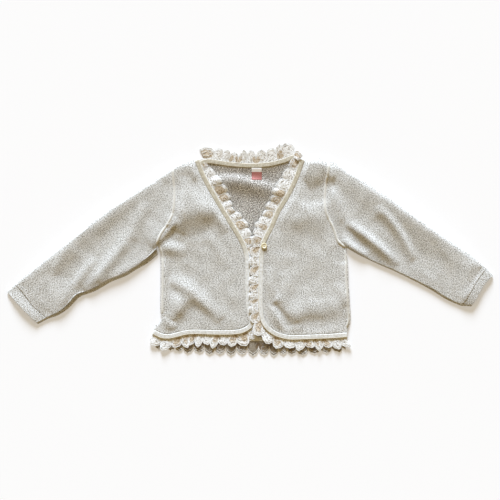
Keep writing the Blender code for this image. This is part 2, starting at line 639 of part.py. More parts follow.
def lace(name, line, outward, waves, finish, beneath=None):
    """A gathered strip sewn along a line. Outward is 1 where it hangs to the left of the line, or else -1."""
    total = lengths(line)[-1]
    along, crest, wave = lace_stations(waves, total)
    sewn = smooth_line(line, along / total)
    side = left_of(sewn) * outward
    ahead = np.column_stack([side[:, 1], -side[:, 0]]) * outward
    reach = wave["reach"] * (1 - SCALLOP_NOTCH * (1 - crest) ** NOTCH_SHAPE)
    rows = []
    for out in LACE_ROWS:
        free = max(out - LACE_ROWS[1], 0) / (1 - LACE_ROWS[1])
        plan = sewn + side * (reach * out)[:, None] + ahead * (wave["lean"] * crest * free)[:, None]
        z = wave["foot"] + (wave["tip"] - wave["foot"] + wave["rise"] * crest) * free
        if beneath:
            z = z + beneath(plan[:, 0], plan[:, 1])
        rows.append(np.column_stack([plan, z]))
    cloth(name, np.array(rows), LACE, finish)


def button(finish):
    """The button lies on the left binding, where it is sewn."""
    line = smooth_line(LEFT.edge, np.linspace(0, 1, FINE))
    along = lengths(line)[np.hypot(*(line - np.array(BUTTON_AT)).T).argmin()]
    seat = foot_at(LEFT.waves, along) + LACE + SEAM + BAND_THICKNESS + SEAM
    middle = (seat + BUTTON_THICKNESS / 2) * MM
    bpy.ops.mesh.primitive_cylinder_add(
        vertices=BUTTON_SIDES,
        radius=BUTTON_RADIUS * MM,
        depth=BUTTON_THICKNESS * MM,
        location=(BUTTON_AT[0] * MM, BUTTON_AT[1] * MM, middle),
    )
    disc = keep_in(bpy.context.object, "button", CARDIGAN)
    disc.data.materials.append(finish)
    for number, away in enumerate((-0.5, 0.5)):
        bpy.ops.mesh.primitive_cylinder_add(
            vertices=BUTTON_HOLE_SIDES,
            radius=BUTTON_HOLE_RADIUS * MM,
            depth=3 * BUTTON_THICKNESS * MM,
            location=(BUTTON_AT[0] * MM, (BUTTON_AT[1] + away * BUTTON_HOLES_APART) * MM, middle),
        )
        cutter = keep_in(bpy.context.object, f"button_hole_{number}", CUTTERS)
        cutter.hide_render = True
        cutter.display_type = "WIRE"
        disc.modifiers.new(f"Hole {number}", "BOOLEAN").object = cutter
    edge = disc.modifiers.new("Edge", "BEVEL")
    edge.width = BUTTON_EDGE * MM
    edge.segments = 1
    edge.limit_method = "ANGLE"
    edge.angle_limit = np.radians(60)


def label(finish):
    """The neck label hangs from the neck binding and follows the back."""
    across = LABEL_AT[0] + np.linspace(-0.5, 0.5, LABEL_COLUMNS) * LABEL_SIZE[0]
    up = LABEL_AT[1] + np.linspace(-0.5, 0.5, LABEL_ROWS) * LABEL_SIZE[1]
    x, y = np.meshgrid(across, up)
    z = back_height(x, y) + KNIT + LABEL_CLEARANCE
    cloth("label", np.dstack([x, y, z]), LABEL_THICKNESS, finish)


def keep_in(obj, name, collection):
    """Names a new object and keeps it in one collection only."""
    obj.name = name
    obj.data.name = name
    for other in list(obj.users_collection):
        other.objects.unlink(obj)
    collection.objects.link(obj)
    return obj


def front_edge(half, line, cream, net):
    """A front's binding, and the lace sewn beneath it with part of its width tucked in."""
    band(f"binding_{half.name}", line, foot_at(half.waves, lengths(line)) + LACE + SEAM, cream)
    sewn = moved(line, half.inward * (LACE_TUCK - BAND_WIDTH / 2))
    lace(f"lace_{half.name}", sewn, -half.inward, half.waves, net, back_height)


def neck_edge(cream, net):
    """The back neck's binding and its lace, which goes on over one shoulder."""
    middle = smooth_line(NECK_EDGE, np.linspace(0, 1, NECK_SECTIONS))
    band("binding_neck", middle, np.full(NECK_SECTIONS, LACE + SEAM), cream)
    whole = smooth_line(NECK_EDGE + NECK_LACE_END, np.linspace(0, 1, FINE))
    lace("lace_neck", moved(whole, BAND_WIDTH / 2 - LACE_TUCK), 1, NECK_WAVES, net)


def back_hem_edge(cream, net):
    """The back hem's binding lies on the floor, with its lace beside it."""
    middle = smooth_line(BACK_HEM_EDGE, np.linspace(0, 1, HEM_SECTIONS))
    band("binding_hem_back", middle, np.zeros(HEM_SECTIONS), cream)
    lace("lace_hem_back", moved(middle, -(BAND_WIDTH / 2 + SEAM)), -1, BACK_HEM_WAVES, net)


for old in list(bpy.data.objects):
    bpy.data.objects.remove(old)
CARDIGAN = bpy.data.collections.new("cardigan")
CUTTERS = bpy.data.collections.new("cutters")
bpy.context.scene.collection.children.link(CARDIGAN)
bpy.context.scene.collection.children.link(CUTTERS)

knit = material("knit")
band_cloth = material("band")
lace_cloth = material("lace")

back(knit)
for half in (RIGHT, LEFT):
    sleeve_and_cuff(half, knit)
    front_edge(half, front(half, knit), band_cloth, lace_cloth)
neck_edge(band_cloth, lace_cloth)
back_hem_edge(band_cloth, lace_cloth)
button(material("button"))
label(material("label"))
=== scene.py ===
"""Looks of a small child's cardigan laid flat, front up.

The cloth follows the same cut as its solids, more finely: a marl knit, a cream edge binding and gathered
lace of corded scallops on net. Sizes are in millimetres and become metres where a mesh or a material is made.
X runs to the viewer's right, Y from hem to neck and Z up. Sides are named for the wearer, so the left front
is at positive X.
"""

from collections import namedtuple

import bpy
import numpy as np
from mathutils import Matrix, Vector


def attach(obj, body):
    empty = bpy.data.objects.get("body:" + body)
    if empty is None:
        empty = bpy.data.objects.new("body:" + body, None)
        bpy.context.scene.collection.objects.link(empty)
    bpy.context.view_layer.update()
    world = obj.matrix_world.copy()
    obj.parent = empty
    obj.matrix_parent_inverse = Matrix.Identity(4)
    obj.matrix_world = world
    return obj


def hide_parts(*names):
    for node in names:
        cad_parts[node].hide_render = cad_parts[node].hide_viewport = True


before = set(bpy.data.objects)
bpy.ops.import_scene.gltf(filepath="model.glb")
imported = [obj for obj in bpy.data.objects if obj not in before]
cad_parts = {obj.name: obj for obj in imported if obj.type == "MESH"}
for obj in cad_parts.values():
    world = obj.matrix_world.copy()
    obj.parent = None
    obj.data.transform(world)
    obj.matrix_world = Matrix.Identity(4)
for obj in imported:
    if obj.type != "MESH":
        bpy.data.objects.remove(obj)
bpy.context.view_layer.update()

MM = 0.001

# Walls and seams
KNIT = 2.0
LACE = 1.0
SEAM = 0.3
BACK_SEAM = 1.2
BAND_WIDTH = 7.4
BAND_THICKNESS = 2.4
LACE_TUCK = 3.0

# The least gap inside a laid tube or between two panels
LEAST_HOLLOW = 0.35

# The middle of each sleeve, cuff and front is puffed up a little, a front over this width from its folded
# edges.
SLEEVE_PUFF = 1.3
CUFF_PUFF = 0.9
FRONT_PUFF = 1.1
PUFF_WIDTH = 28.0
PUFF_SHAPE = 0.65

# The seam along a binding holds the knit at its own height, and lets go of it over this width.
HELD_WIDTH = 4.5
RELEASE_WIDTH = 45.0

# Where a front folds over into the back, its wall reaches out and its underside rolls down over this width.
# The roll ends a little below the armhole, and a row of the panel lies at its foot along the shoulder.
ROLL = 3.5
ROLL_DROP = 1.7
ROLL_OUT = 1.4
ROLL_END = 0.88
ROLL_ROW = 0.3
SHOULDER_START = 0.012

# Cross-section of a laid sleeve, from its lower fold: a ledge of the under layer, then the upper wall. The
# walls start this far in from the folds.
Rim = namedtuple("Rim", "inwards height")
LOWER_FOLD = (Rim(0.7, 0.7), Rim(0.0, 1.7), Rim(0.6, 2.8))
UPPER_FOLD = (Rim(0.8, 3.9), Rim(0.0, 2.2), Rim(0.8, 0.6))
LEDGE_HEIGHT = 3.1
LEDGE_TO_WALL = 1.2
WALL_IN = 2.8
UNDER_IN = 2.6
CUFF_LEDGE = 2.6

# A fold is a ridge through three places, or a trough where its height is negative. Its two widths are on
# the left and on the right as it is followed.
Fold = namedtuple("Fold", "start middle end left right height")
FOLD_TAPER = 0.6
LEAST_RELIEF = 0.05

# Waves of the gathered lace along its sewn edge: where each crest is, how far it reaches, how much it rises,
# how far its tip leans on along the edge, and how high the layers below hold its sewn edge and its tip.
Wave = namedtuple("Wave", "at reach rise lean foot tip")


def waves(foot, tip, *rows):
    """Waves whose sewn edges lie at one height and whose tips lie at another."""
    return tuple(Wave(*row, foot, tip) for row in rows)


# One half of the garment. Inward is 1 where the cloth is to the left of its lines, or else -1. Lines of
# places run up the side and the armhole, out along the sleeve, up across the cuff and from the armhole to
# the neck. The edge is the middle of the binding: from the shoulder down to its corner, then along the hem.
# The armhole starts this many rows below the top of the side. Ledges are at even steps from the armhole to
# the cuff.
Half = namedtuple(
    "Half",
    "name inward side under_arm armhole shoulder edge corner sleeve_top sleeve_low cuff_seam cuff_end ledges "
    "front_folds sleeve_folds waves",
)

RIGHT = Half(
    name="right",
    inward=-1,
    side=(
        (-166, -138), (-162, -131), (-150, -120), (-152, -110), (-152, -62), (-152, -25), (-153, -8),
        (-158, 8),
    ),
    under_arm=1,
    armhole=(
        (-156.5, -10), (-158.5, 0), (-158, 8), (-152, 24), (-138, 45), (-131, 61), (-128, 100), (-130, 119),
        (-131, 137.5),
    ),
    shoulder=((-131, 137.5), (-117, 146), (-104, 150.5), (-94, 150.5)),
    edge=(
        (-90, 150), (-87, 143), (-82, 129), (-72, 110), (-51, 73), (-33, 44), (-14, 12), (-8, -3), (-5, -20),
        (-4, -60), (-3, -95), (0, -115), (3, -125), (-3, -134), (-17, -140), (-46, -142), (-85, -141),
        (-103, -141), (-118, -144), (-133, -148), (-148, -148), (-164, -141),
    ),
    corner=12,
    sleeve_top=(
        (-131, 137.5), (-163, 116), (-210, 87), (-257, 55), (-286, 31), (-337, -9), (-377, -41), (-399, -61),
    ),
    sleeve_low=(
        (-156.5, -10), (-173, -24), (-194, -36), (-210, -46), (-235, -56), (-263, -72), (-289, -82),
        (-298, -91), (-309, -102), (-326, -113), (-343, -119),
    ),
    cuff_seam=((-343, -119), (-356, -109), (-371, -95), (-388, -73), (-399, -61)),
    cuff_end=((-360, -128), (-379, -110), (-395, -93), (-413, -73)),
    ledges=(11, 9, 5, 4, 4, 5, 6, 4, 8, 6, 4, 3),
    front_folds=(
        Fold((-124, 28), (-78, 68), (-28, 38), 46, 22, 3.0),
        Fold((-108, 64), (-80, 88), (-55, 78), 20, 16, -0.4),
        Fold((-112, 122), (-114, 69), (-122, 14), 12, 8, 1.3),
        Fold((-153, 4), (-133, 1), (-108, -6), 10, 11, 1.4),
        Fold((-137, -52), (-100, -75), (-48, -122), 13, 9, 2.0),
        Fold((-132, -121), (-118, -98), (-103, -79), 18, 11, 1.9),
        Fold((-76, 26), (-55, 0), (-38, -36), 10, 8, 0.6),
        Fold((-148, -110), (-139, -124), (-126, -136), 7, 9, 1.0),
        Fold((-152, 119), (-112, 140), (-80, 137), 6, 24, 1.9),
        Fold((-146, -16), (-145, -60), (-147, -112), 5, 6, 0.8),
        Fold((-92, 120), (-74, 88), (-50, 52), 8, 12, -0.7),
    ),
    sleeve_folds=(
        Fold((-138, 127), (-257, 49), (-390, -59), 21, 5, 2.0),
        Fold((-122, 50), (-146, 24), (-166, 2), 7, 16, 1.9),
        Fold((-176, 78), (-190, 46), (-199, 12), 11, 10, 1.0),
        Fold((-200, 31), (-237, -22), (-282, -72), 12, 10, 1.8),
        Fold((-262, -14), (-281, -40), (-298, -66), 9, 8, 1.2),
        Fold((-172, -14), (-212, -38), (-256, -62), 8, 12, 1.2),
        Fold((-299, -58), (-317, -84), (-336, -112), 15, 22, 1.0),
        Fold((-345, -117), (-371, -96), (-398, -65), 7, 8, -0.6),
        Fold((-364, -126), (-389, -104), (-410, -78), 7, 15, 1.3),
        Fold((-300, 8), (-322, -18), (-330, -46), 14, 9, 1.0),
    ),
    waves=(
        *waves(
            2.4, 2.4, (10, 13, 0.6, 0), (27, 20, 2.2, 3), (45, 23, 3.2, 3), (64, 25, 3.2, 3),
            (78, 23, 2.8, 3), (91, 19, 2.6, 2), (103, 16, 3.2, 1), (115, 22, 3.6, 2), (133, 24, 2.6, 3),
            (149, 21, 2.4, 1), (164, 24, 1.2, 0), (182, 18, 0.5, 0), (202, 17, 0.4, 0),
            (222, 16, 0.4, 0), (242, 16, 0.4, 0), (262, 16, 0.4, 0), (280, 16, 0.4, 0),
            (296, 17, 0.5, 0), (309, 22, 0.7, 0),
        ),
        Wave(323, 26, 1.4, -2, 2.6, 2.6),
        *waves(
            2.7, 2.7, (340, 24, 2.4, 1), (354, 21, 2.0, -2), (369, 27, 2.6, 2), (382, 21, 2.0, -3),
            (395, 26, 2.8, 1), (408, 22, 2.2, 3), (421, 26, 2.8, -1), (436, 20, 2.2, 3),
            (451, 24, 2.8, 5), (465, 21, 2.0, 3),
        ),
    ),
)

LEFT = Half(
    name="left",
    inward=1,
    side=((168, -144), (167, -137), (171, -120), (169, -87), (167, -53), (166, -14), (164, 2)),
    under_arm=0,
    armhole=((164, 2), (150, 13), (141, 37), (129, 62), (127, 87), (129, 114), (132, 129), (134, 149)),
    shoulder=((134, 149), (122, 153), (106, 154), (94, 152)),
    edge=(
        (89, 151), (87, 145), (80, 124), (64, 90), (47, 62), (38, 40), (30, 25), (24, 14), (21, 0), (19, -32),
        (18, -84), (19, -108), (24, -126), (31, -135), (44, -144), (66, -150), (85, -150), (112, -149),
        (138, -148), (165, -146),
    ),
    corner=13,
    sleeve_top=(
        (134, 149), (143, 148), (162, 134), (187, 120), (219, 101), (265, 67), (302, 41), (343, 13),
        (377, -11), (402, -34),
    ),
    sleeve_low=((164, 2), (182, -9), (215, -25), (247, -39), (302, -67), (335, -87), (358, -97)),
    cuff_seam=((358, -97), (366, -88), (375, -73), (387, -53), (402, -34)),
    cuff_end=((376, -98), (388, -79), (397, -62), (413, -45)),
    ledges=(2.6, 2.6),
    front_folds=(
        Fold((95, 70), (120, 96), (141, 120), 21, 15, -1.6),
        Fold((44, 44), (85, 56), (132, 48), 42, 21, 1.5),
        Fold((52, -40), (60, -66), (54, -92), 18, 12, 0.8),
        Fold((32, -92), (46, -118), (58, -142), 9, 7, 0.8),
        Fold((40, -90), (53, -112), (65, -136), 10, 5, -1.4),
        Fold((42, -84), (61, -104), (78, -127), 14, 7, 1.3),
        Fold((72, -114), (111, -100), (156, -108), 20, 18, 1.0),
        Fold((78, -133), (119, -127), (160, -115), 14, 12, -0.45),
        Fold((146, 6), (153, -8), (156, -24), 9, 9, -1.6),
        Fold((146, -58), (156, -76), (160, -98), 8, 8, 0.7),
        Fold((79, 136), (112, 144), (152, 128), 6, 40, 1.9),
        Fold((161, -20), (163, -62), (165, -116), 7, 6, 0.8),
        Fold((30, -30), (34, -60), (40, -96), 7, 10, 0.8),
    ),
    sleeve_folds=(
        Fold((140, 144), (265, 62), (396, -34), 5, 27, 3.1),
        Fold((214, 70), (246, 38), (280, -20), 6, 10, 2.0),
        Fold((163, 46), (206, 14), (252, -28), 7, 9, 2.2),
        Fold((155, 17), (174, 2), (200, -14), 7, 6, 1.4),
        Fold((160, 36), (180, 16), (202, 0), 6, 7, -1.0),
        Fold((138, 104), (148, 76), (157, 44), 9, 9, 1.2),
        Fold((372, -20), (369, -53), (358, -86), 8, 14, 0.8),
        Fold((360, -94), (375, -73), (400, -37), 9, 24, 1.2),
    ),
    waves=(
        *waves(
            2.4, 2.4, (9, 18, 0.8, 0), (30, 23, 2.4, 3), (53, 26, 3.2, 3), (69, 26, 3.0, 3),
            (82, 22, 2.4, 2), (95, 23, 3.6, 2),
        ),
        Wave(108, 22, 3.0, 2, 2.4, 2.6), Wave(120, 24, 2.4, 2, 2.6, 3.6),
        Wave(133, 27, 2.6, 2, 3.0, 5.0), Wave(144, 23, 2.2, 2, 3.6, 6.0),
        *waves(
            4.2, 6.8, (156, 21, 3.2, 0), (172, 20, 2.2, 0), (189, 22, 4.6, 0), (205, 19, 2.2, 0),
            (221, 21, 4.8, 0), (234, 19, 2.4, 0), (247, 21, 4.4, 0), (257, 19, 2.2, 0),
            (268, 21, 4.2, 0),
        ),
        Wave(281, 20, 2.2, 1, 4.2, 6.6), Wave(297, 24, 2.6, 2, 4.2, 6.2),
        Wave(314, 22, 2.0, 2, 3.6, 4.8),
        *waves(
            2.7, 2.7, (331, 23, 2.4, -2), (347, 18, 2.8, 1), (364, 23, 2.2, -3), (381, 18, 2.8, 2),
            (396, 24, 2.2, -1), (410, 19, 2.6, 2), (424, 23, 2.2, 4), (438, 20, 2.4, 9),
        ),
    ),
)

# Back, neck and back hem
BACK_FOLDS = (
    Fold((-66, 115), (-10, 115), (60, 92), 6.5, 18, 2.3),
    Fold((-82, 150), (0, 140), (78, 153), 4, 12, 1.05),
)
NECK_EDGE = (
    (-78, 147), (-71, 148.5), (-62, 147.5), (-31, 143), (2, 141), (32, 143), (48, 146.5), (60, 150),
    (68, 153.5),
)
NECK_LACE_END = ((75, 152.5), (81, 148.5))
NECK_TAPE_START = (-85, 144)
NECK_TAPE_END = (76, 155.5)
NECK_TAPE_LIFT = 2.4
NECK_TAPE_SHAPE = 0.4
NECK_TUCK = 2.0
BACK_HEM_EDGE = ((-156, -143), (-120, -147), (-60, -151), (0, -153), (60, -153), (120, -151), (160, -148))
NECK_WAVES = (
    *waves(
        0, 0, (7, 24, 3.2, -5), (23, 24, 3.8, 0), (36, 24, 3.4, 1), (50, 21, 3.2, 0), (66, 27, 4.4, 1),
        (80, 27, 4.2, 0), (99, 27, 4.6, 1), (119, 27, 4.6, 1), (136, 29, 4.2, 2),
    ),
    Wave(148, 27, 2.6, 0, 0, 0.8), Wave(160, 13, 1.0, 0, 6.5, 7.2),
)
BACK_HEM_WAVES = waves(
    0.3, 0, (6, 24, 0.8, -2), (24, 23, 0.9, 0), (38, 24, 0.8, 0), (52, 25, 1.0, 0), (71, 23, 0.9, 1),
    (89, 25, 1.0, 0), (107, 24, 0.8, -1), (125, 25, 1.0, 0), (143, 23, 0.9, 1), (162, 25, 1.0, 0),
    (181, 24, 0.8, 0), (198, 25, 1.0, -1), (213, 23, 0.9, 0), (227, 23, 0.9, 0), (245, 25, 1.0, 1),
    (266, 23, 0.9, 0), (285, 23, 0.8, 1), (303, 23, 0.9, 4),
)

# The button's profile gives radius and height, and the loop of its thread gives places along and up.
BUTTON_AT = (24.0, 5.0)
BUTTON_HOLE_RADIUS = 0.8
BUTTON_HOLES_APART = 2.8
BUTTON_TURNS = 49
DRILL_SIDES = 20
DRILL_LENGTH = 20
BUTTON_PROFILE = (
    (0.02, 0.0), (4.2, 0.0), (4.8, 0.4), (5.0, 1.1), (4.8, 1.8), (4.3, 2.15), (3.9, 2.2), (3.5, 1.95),
    (3.1, 1.65), (2.0, 1.55), (1.0, 1.55), (0.02, 1.55),
)
BUTTON_LOOP = ((-1.4, -0.8), (-1.4, 1.5), (-0.6, 2.0), (0.6, 2.0), (1.4, 1.5), (1.4, -0.8))
BUTTON_STRANDS = (-0.35, 0.0, 0.35)
STRAND_RADIUS = 0.18
LABEL_AT = (11.5, 127.0)
LABEL_SIZE = (17.0, 20.0)
LABEL_COLUMNS = 25
LABEL_ROWS = 31
LABEL_THICKNESS = 0.6
LABEL_CLEARANCE = 0.6
LABEL_FOLD = 0.68

# How finely the cloth is cut. Panels are first laid out as coarsely as their solids and then refined.
FINER = 3
PANEL_FINER = 4
SIDE_ROWS = 14
FOLD_STEPS = 48
LINE_STEPS = 16
FINE = 800
ROLL_FINE = 50
ARMHOLE_COLUMNS = (0.0, 0.11, 0.2, 0.3, 0.4, 0.5, 0.6, 0.7, 0.8, 0.9, 1.0)
UNDER_COLUMNS = (0.0, 0.11, 0.2, 0.3, 0.4, 0.6, 0.8, 1.0)
FRONT_COLUMNS = (0.0, 0.012, 0.03, 0.09, 0.16, 0.24, 0.33, 0.42, 0.51, 0.6, 0.69, 0.78, 0.87, 0.96, 1.0)
BACK_COLUMNS = 16
BACK_SIDE_ROWS = 8
BACK_ARMHOLE_ROWS = 15
BACK_SHOULDER_AT = (0.12, 0.4, 0.65, 0.9)
NECK_SECTIONS = 90
HEM_SECTIONS = 140
EDGE_SECTIONS = 260
SLEEVE_SECTIONS = 84
CUFF_SECTIONS = 12
WAVE_STEPS = 24
LACE_ROWS = 12

# Folds are this many times as deep as in the solids. They ease off softly where the cloth lies on what is
# below it, and over this width beside a binding. The cloth also has small uneven swellings, of these lengths.
FOLD_GAIN = 3.2
SOFT = 0.35
LOOSE_WIDTH = 9.0
LUMP = 0.45
SMALL_LUMPS = (9.1, 17.0, 12.3, 21.0)
BROAD_LUMPS = (23.0, 31.0, 19.0, 47.0)

# Small creases between the folds, on the fronts and the sleeves, and those of the hidden part of the back
SMALL_CREASES = (
    Fold((-139, 108), (-127, 88), (-128, 60), 7, 5, 0.7),
    Fold((-101, 128), (-92, 104), (-77, 84), 6, 9, -0.8),
    Fold((-128, 22), (-96, 12), (-66, 20), 8, 6, 0.8),
    Fold((-118, -24), (-90, -34), (-66, -58), 9, 12, 0.9),
    Fold((-60, -60), (-42, -84), (-30, -112), 7, 9, -0.6),
    Fold((-146, -70), (-132, -86), (-112, -90), 7, 8, 0.9),
    Fold((-140, -96), (-128, -110), (-106, -128), 6, 5, -0.9),
    Fold((60, 100), (74, 78), (96, 66), 8, 6, 0.7),
    Fold((96, 28), (114, 12), (128, -12), 9, 7, -0.7),
    Fold((40, -6), (60, -14), (92, -12), 8, 10, 0.8),
    Fold((34, -52), (42, -74), (60, -100), 6, 8, 0.9),
    Fold((88, -66), (112, -74), (146, -68), 10, 7, 0.7),
    Fold((70, -132), (96, -138), (126, -136), 6, 5, 0.8),
    Fold((-146, 92), (-166, 78), (-180, 56), 6, 8, 0.8),
    Fold((-226, 44), (-248, 22), (-262, -8), 8, 6, -0.7),
    Fold((-292, 0), (-312, -22), (-336, -34), 7, 9, 0.8),
    Fold((-330, -40), (-352, -60), (-368, -82), 8, 6, 0.7),
    Fold((-188, -2), (-204, -16), (-230, -24), 5, 6, 0.8),
    Fold((176, 96), (200, 76), (214, 50), 7, 9, 0.8),
    Fold((284, 36), (306, 12), (318, -22), 8, 7, -0.8),
    Fold((318, 6), (338, -16), (346, -48), 9, 6, 0.9),
    Fold((196, 34), (224, 26), (246, 4), 6, 5, 0.7),
    Fold((274, -36), (300, -46), (326, -66), 6, 8, 0.8),
)
BACK_CREASES = (
    Fold((-120, 96), (-104, 40), (-112, -30), 10, 14, 0.8),
    Fold((60, 60), (96, 20), (104, -50), 14, 10, 0.7),
    Fold((-70, -60), (-20, -84), (44, -70), 12, 16, 0.8),
    Fold((-120, -96), (-84, -120), (-40, -116), 9, 12, 0.6),
    Fold((40, -120), (84, -108), (132, -124), 12, 9, 0.7),
)

# Stitches of the knit, and the dashes of colour in its yarn. A panel's cut is this share of the rectangle
# round it. A tube's wall is this part of a panel's.
WALE = 1.7
COURSE = 1.3
FLECK = 1.5
TUBE_WALL = 0.8

# The soft edges of a binding reach nearly to the knit, and these powers make it squarer across and up. Its
# cut is this many times as wide as it is. The tape is pale, and from its start it is painted tan as painted
# shade up to one length, and pale from the other.
# Its row of stitches and its pale cord lie at these parts of its width. The cord is a painted highlight: it
# stands in for the lit edge of the binding.
BAND_SPREAD = 0.25
BAND_TURNS = 21
BAND_SQUARE = (0.7, 0.8)
BAND_RIB = 1.1
PAINTED_SHADE_UNTIL = 148.0
PALE_FROM = 200.0
STITCH_LINE = 0.29
STITCH = 2.2
STITCH_GAP = 1.1
STITCH_RADIUS = 0.24
STITCH_SHAPE = ((0.0, -0.25), (0.3, 0.12), (0.7, 0.12), (1.0, -0.25))
HIGHLIGHT_CORD = 0.8
HIGHLIGHT_CORD_LINE = 0.43
HIGHLIGHT_CORD_UP = 0.72

# The seams of the armholes and the sides are soft ridges, which sink into the cloth over their last stretch.
# A side's starts at this part of it, on the right above the bend in its outline.
SEAM_STEPS = 80
SEAM_RIDGE = 3.4
SEAM_RIDGE_UP = 1.3
SEAM_RIDGE_DROP = 3.0
SEAM_RIDGE_END = 8.0
SIDE_RIDGE = 2.4
SIDE_RIDGE_UP = 0.9
SIDE_RIDGE_IN = 2.6
SIDE_RIDGE_FROM = {"right": 0.19, "left": 0.05}

# Lace: net with cords on it. It is free of its sewn edge from this far out, and from there it rises to its
# crests and puffs up a little.
NET = 0.6
NET_CELLS = 620.0
FREE_FROM = 0.16
NET_UP = 0.2
RIM_CORD = 0.65
INNER_CORD = 0.4
FLOWER_CORD = 0.3
FULLER_CREST = 0.8
SCALLOP_DEPTH = 0.62
INNER_EDGE = 3.6
RISE_GAIN = 0.55
RISE_SHAPE = 0.85
GATHER_PUFF = 0.5
PUFF_OUT = 0.7
LEAST_PUFF = 0.35
PICOT = 0.9
PICOTS = 5
ROUND_TIP = 0.94
POINTED_TIP = (0.8, 1.2)

# On every second scallop, a flower and a row of eyelets. Widths and places are parts of a scallop's own, or
# else millimetres.
FLOWER_WIDTH = 0.28
LARGEST_FLOWER = 4.4
FLOWER_OUT = 0.52
FLOWER_STEPS = 31
PETALS = 5
PETAL_DEPTH = 0.18
EYELETS = 5
EYELET_SPREAD = 0.36
EYELET_IN = 2.4
EYELET_RADIUS = 1.0
EYELET_STEPS = 9

# How pointed the scallops are at lengths along the edge: round at 0 and pointed at 1
FRONT_POINTS = ((0, 0.1), (145, 0.1), (172, 0.6), (300, 0.6), (325, 0.5), (400, 0.8), (420, 0.4))
NECK_POINTS = ((0, 0.1), (36, 0.1), (52, 0.95), (104, 0.95), (120, 0.2))
HEM_POINTS = ((0, 0.7), (60, 0.4), (150, 0.9), (240, 0.5), (320, 0.8))

# Each scallop takes this much of the cloth's own width. Its spot of painted shade, a tan middle, is this
# large and this far out.
SCALLOP_CLOTH = 18.0
SPOT_RADIUS = 7.5
SPOT_OUT = 12.5

# Tan spots of painted shade are common round the neck and down the fronts, and rarer along the hem. The
# cloth's own width tells where the hem begins.
SHADED_SCALLOP_SHARE = 0.62
HEM_SHADED_SCALLOP_SHARE = 0.35
HEM_LACE_FROM = 342.0

# Low soft light from beyond the neck, spread over this many degrees, and a camera straight above that sees
# this many millimetres to a pixel. The floor glows a little, so that shadows stay light.
KEY_LIGHT = (-0.08, 0.86, 0.34)
KEY_STRENGTH = 7.25
KEY_SPREAD = 22
KEY_COLOUR = (0.695, 0.815, 1.0)
FILL_STRENGTH = 0.4
FILL_COLOUR = (1.0, 0.765, 0.40, 1)
FLOOR_COLOUR = (0.655, 0.645, 0.635, 1)
FLOOR_GLOW = 0.32
FLOOR_DROP = 0.4
FLOOR_SIZE = 40000
EYE_AT = (0.0, -2.04, 3000.0)
SENSOR = 36
FARTHEST_SEEN = 20000
PIXEL = 1.7
PICTURE = 500


def lengths(line):
    """Distance along a line of points, at each of them."""
    steps = np.linalg.norm(np.diff(line[:, :2], axis=0), axis=1)
    return np.concatenate([[0.0], np.cumsum(steps)])


def even(count):
    """Even steps from 0 to 1."""
    return np.linspace(0, 1, count)


def smooth_line(points, at):
    """The places at the given fractions of the length of a smooth line through the points."""
    points = np.asarray(points, float)
    steps = np.linalg.norm(np.diff(points, axis=0), axis=1) ** 0.5
    knots = np.concatenate([[0.0], np.cumsum(steps)])
    slopes = np.gradient(points, knots, axis=0)
    fine = np.linspace(0.0, knots[-1], LINE_STEPS * len(points))
    i = np.clip(np.searchsorted(knots, fine, side="right") - 1, 0, len(points) - 2)
    span = (knots[i + 1] - knots[i])[:, None]
    t = (fine - knots[i])[:, None] / span
    line = (
        (2 * t**3 - 3 * t**2 + 1) * points[i]
        + (t**3 - 2 * t**2 + t) * span * slopes[i]
        + (3 * t**2 - 2 * t**3) * points[i + 1]
        + (t**3 - t**2) * span * slopes[i + 1]
    )
    along = lengths(line)
    wanted = np.asarray(at) * along[-1]
    return np.column_stack([np.interp(wanted, along, column) for column in line.T])


def drawn(points, count):
    """Places at even steps along a smooth line through the points."""
    return smooth_line(points, even(count))


def left_of(line):
    """Unit vectors that point to the left as the line is followed."""
    ahead = np.gradient(line[:, :2], axis=0)
    ahead /= np.linalg.norm(ahead, axis=1)[:, None]
    return np.column_stack([-ahead[:, 1], ahead[:, 0]])


def moved(line, to_left):
    """The line moved sideways."""
    return line + left_of(line) * to_left


def fractions(line):
    """How far along a line its places are, from 0 to 1."""
    along = lengths(line)
    return along / along[-1]


def distance_to(line, x, y):
    """Distance from each place to the nearest stretch of a line."""
    start, step = line[:-1], np.diff(line, axis=0)
    off = np.stack([x, y], -1)[..., None, :] - start
    t = np.clip((off * step).sum(-1) / (step**2).sum(-1), 0, 1)
    return np.linalg.norm(off - t[..., None] * step, axis=-1).min(-1)


def patch(bottom, top, left, right, across, up):
    """Grid of places inside four lines. Bottom and top run from left to right, left and right run upwards."""
    u = np.asarray(across)[None, :, None]
    v = np.asarray(up)[:, None, None]
    ruled = (1 - v) * bottom[None] + v * top[None] + (1 - u) * left[:, None] + u * right[:, None]
    lower = (1 - v) * ((1 - u) * bottom[0] + u * bottom[-1])
    upper = v * ((1 - u) * top[0] + u * top[-1])
    return ruled - lower - upper


def relief(x, y, folds):
    """Height of all the folds at each place."""
    total = np.zeros_like(x)
    t = even(FOLD_STEPS + 1)
    for fold in folds:
        start, middle, end = (np.array(place, float) for place in (fold.start, fold.middle, fold.end))
        bend = 2 * middle - 0.5 * (start + end)
        line = ((1 - t) ** 2)[:, None] * start + (2 * t * (1 - t))[:, None] * bend + (t**2)[:, None] * end
        side = left_of(line)
        off_x = x[..., None] - line[:, 0]
        off_y = y[..., None] - line[:, 1]
        gap = np.hypot(off_x, off_y)
        near = gap.argmin(axis=-1)[..., None]
        to_left = np.take_along_axis(off_x * side[:, 0] + off_y * side[:, 1], near, -1)[..., 0]
        width = np.where(to_left > 0, fold.left, fold.right)
        taper = np.sin(np.pi * t[near[..., 0]]) ** FOLD_TAPER
        total += fold.height * taper * np.exp(-((gap.min(axis=-1) / width) ** 2))
    return total


def finer(columns, times):
    """The same columns with more between them."""
    steps = len(columns) - 1
    return np.interp(np.linspace(0, steps, steps * times + 1), np.arange(steps + 1), columns)


def finer_grid(grid, times):
    """A grid of places with more rows and columns between them."""
    rows = np.apply_along_axis(finer, 0, grid, times)
    return np.apply_along_axis(finer, 1, rows, times)


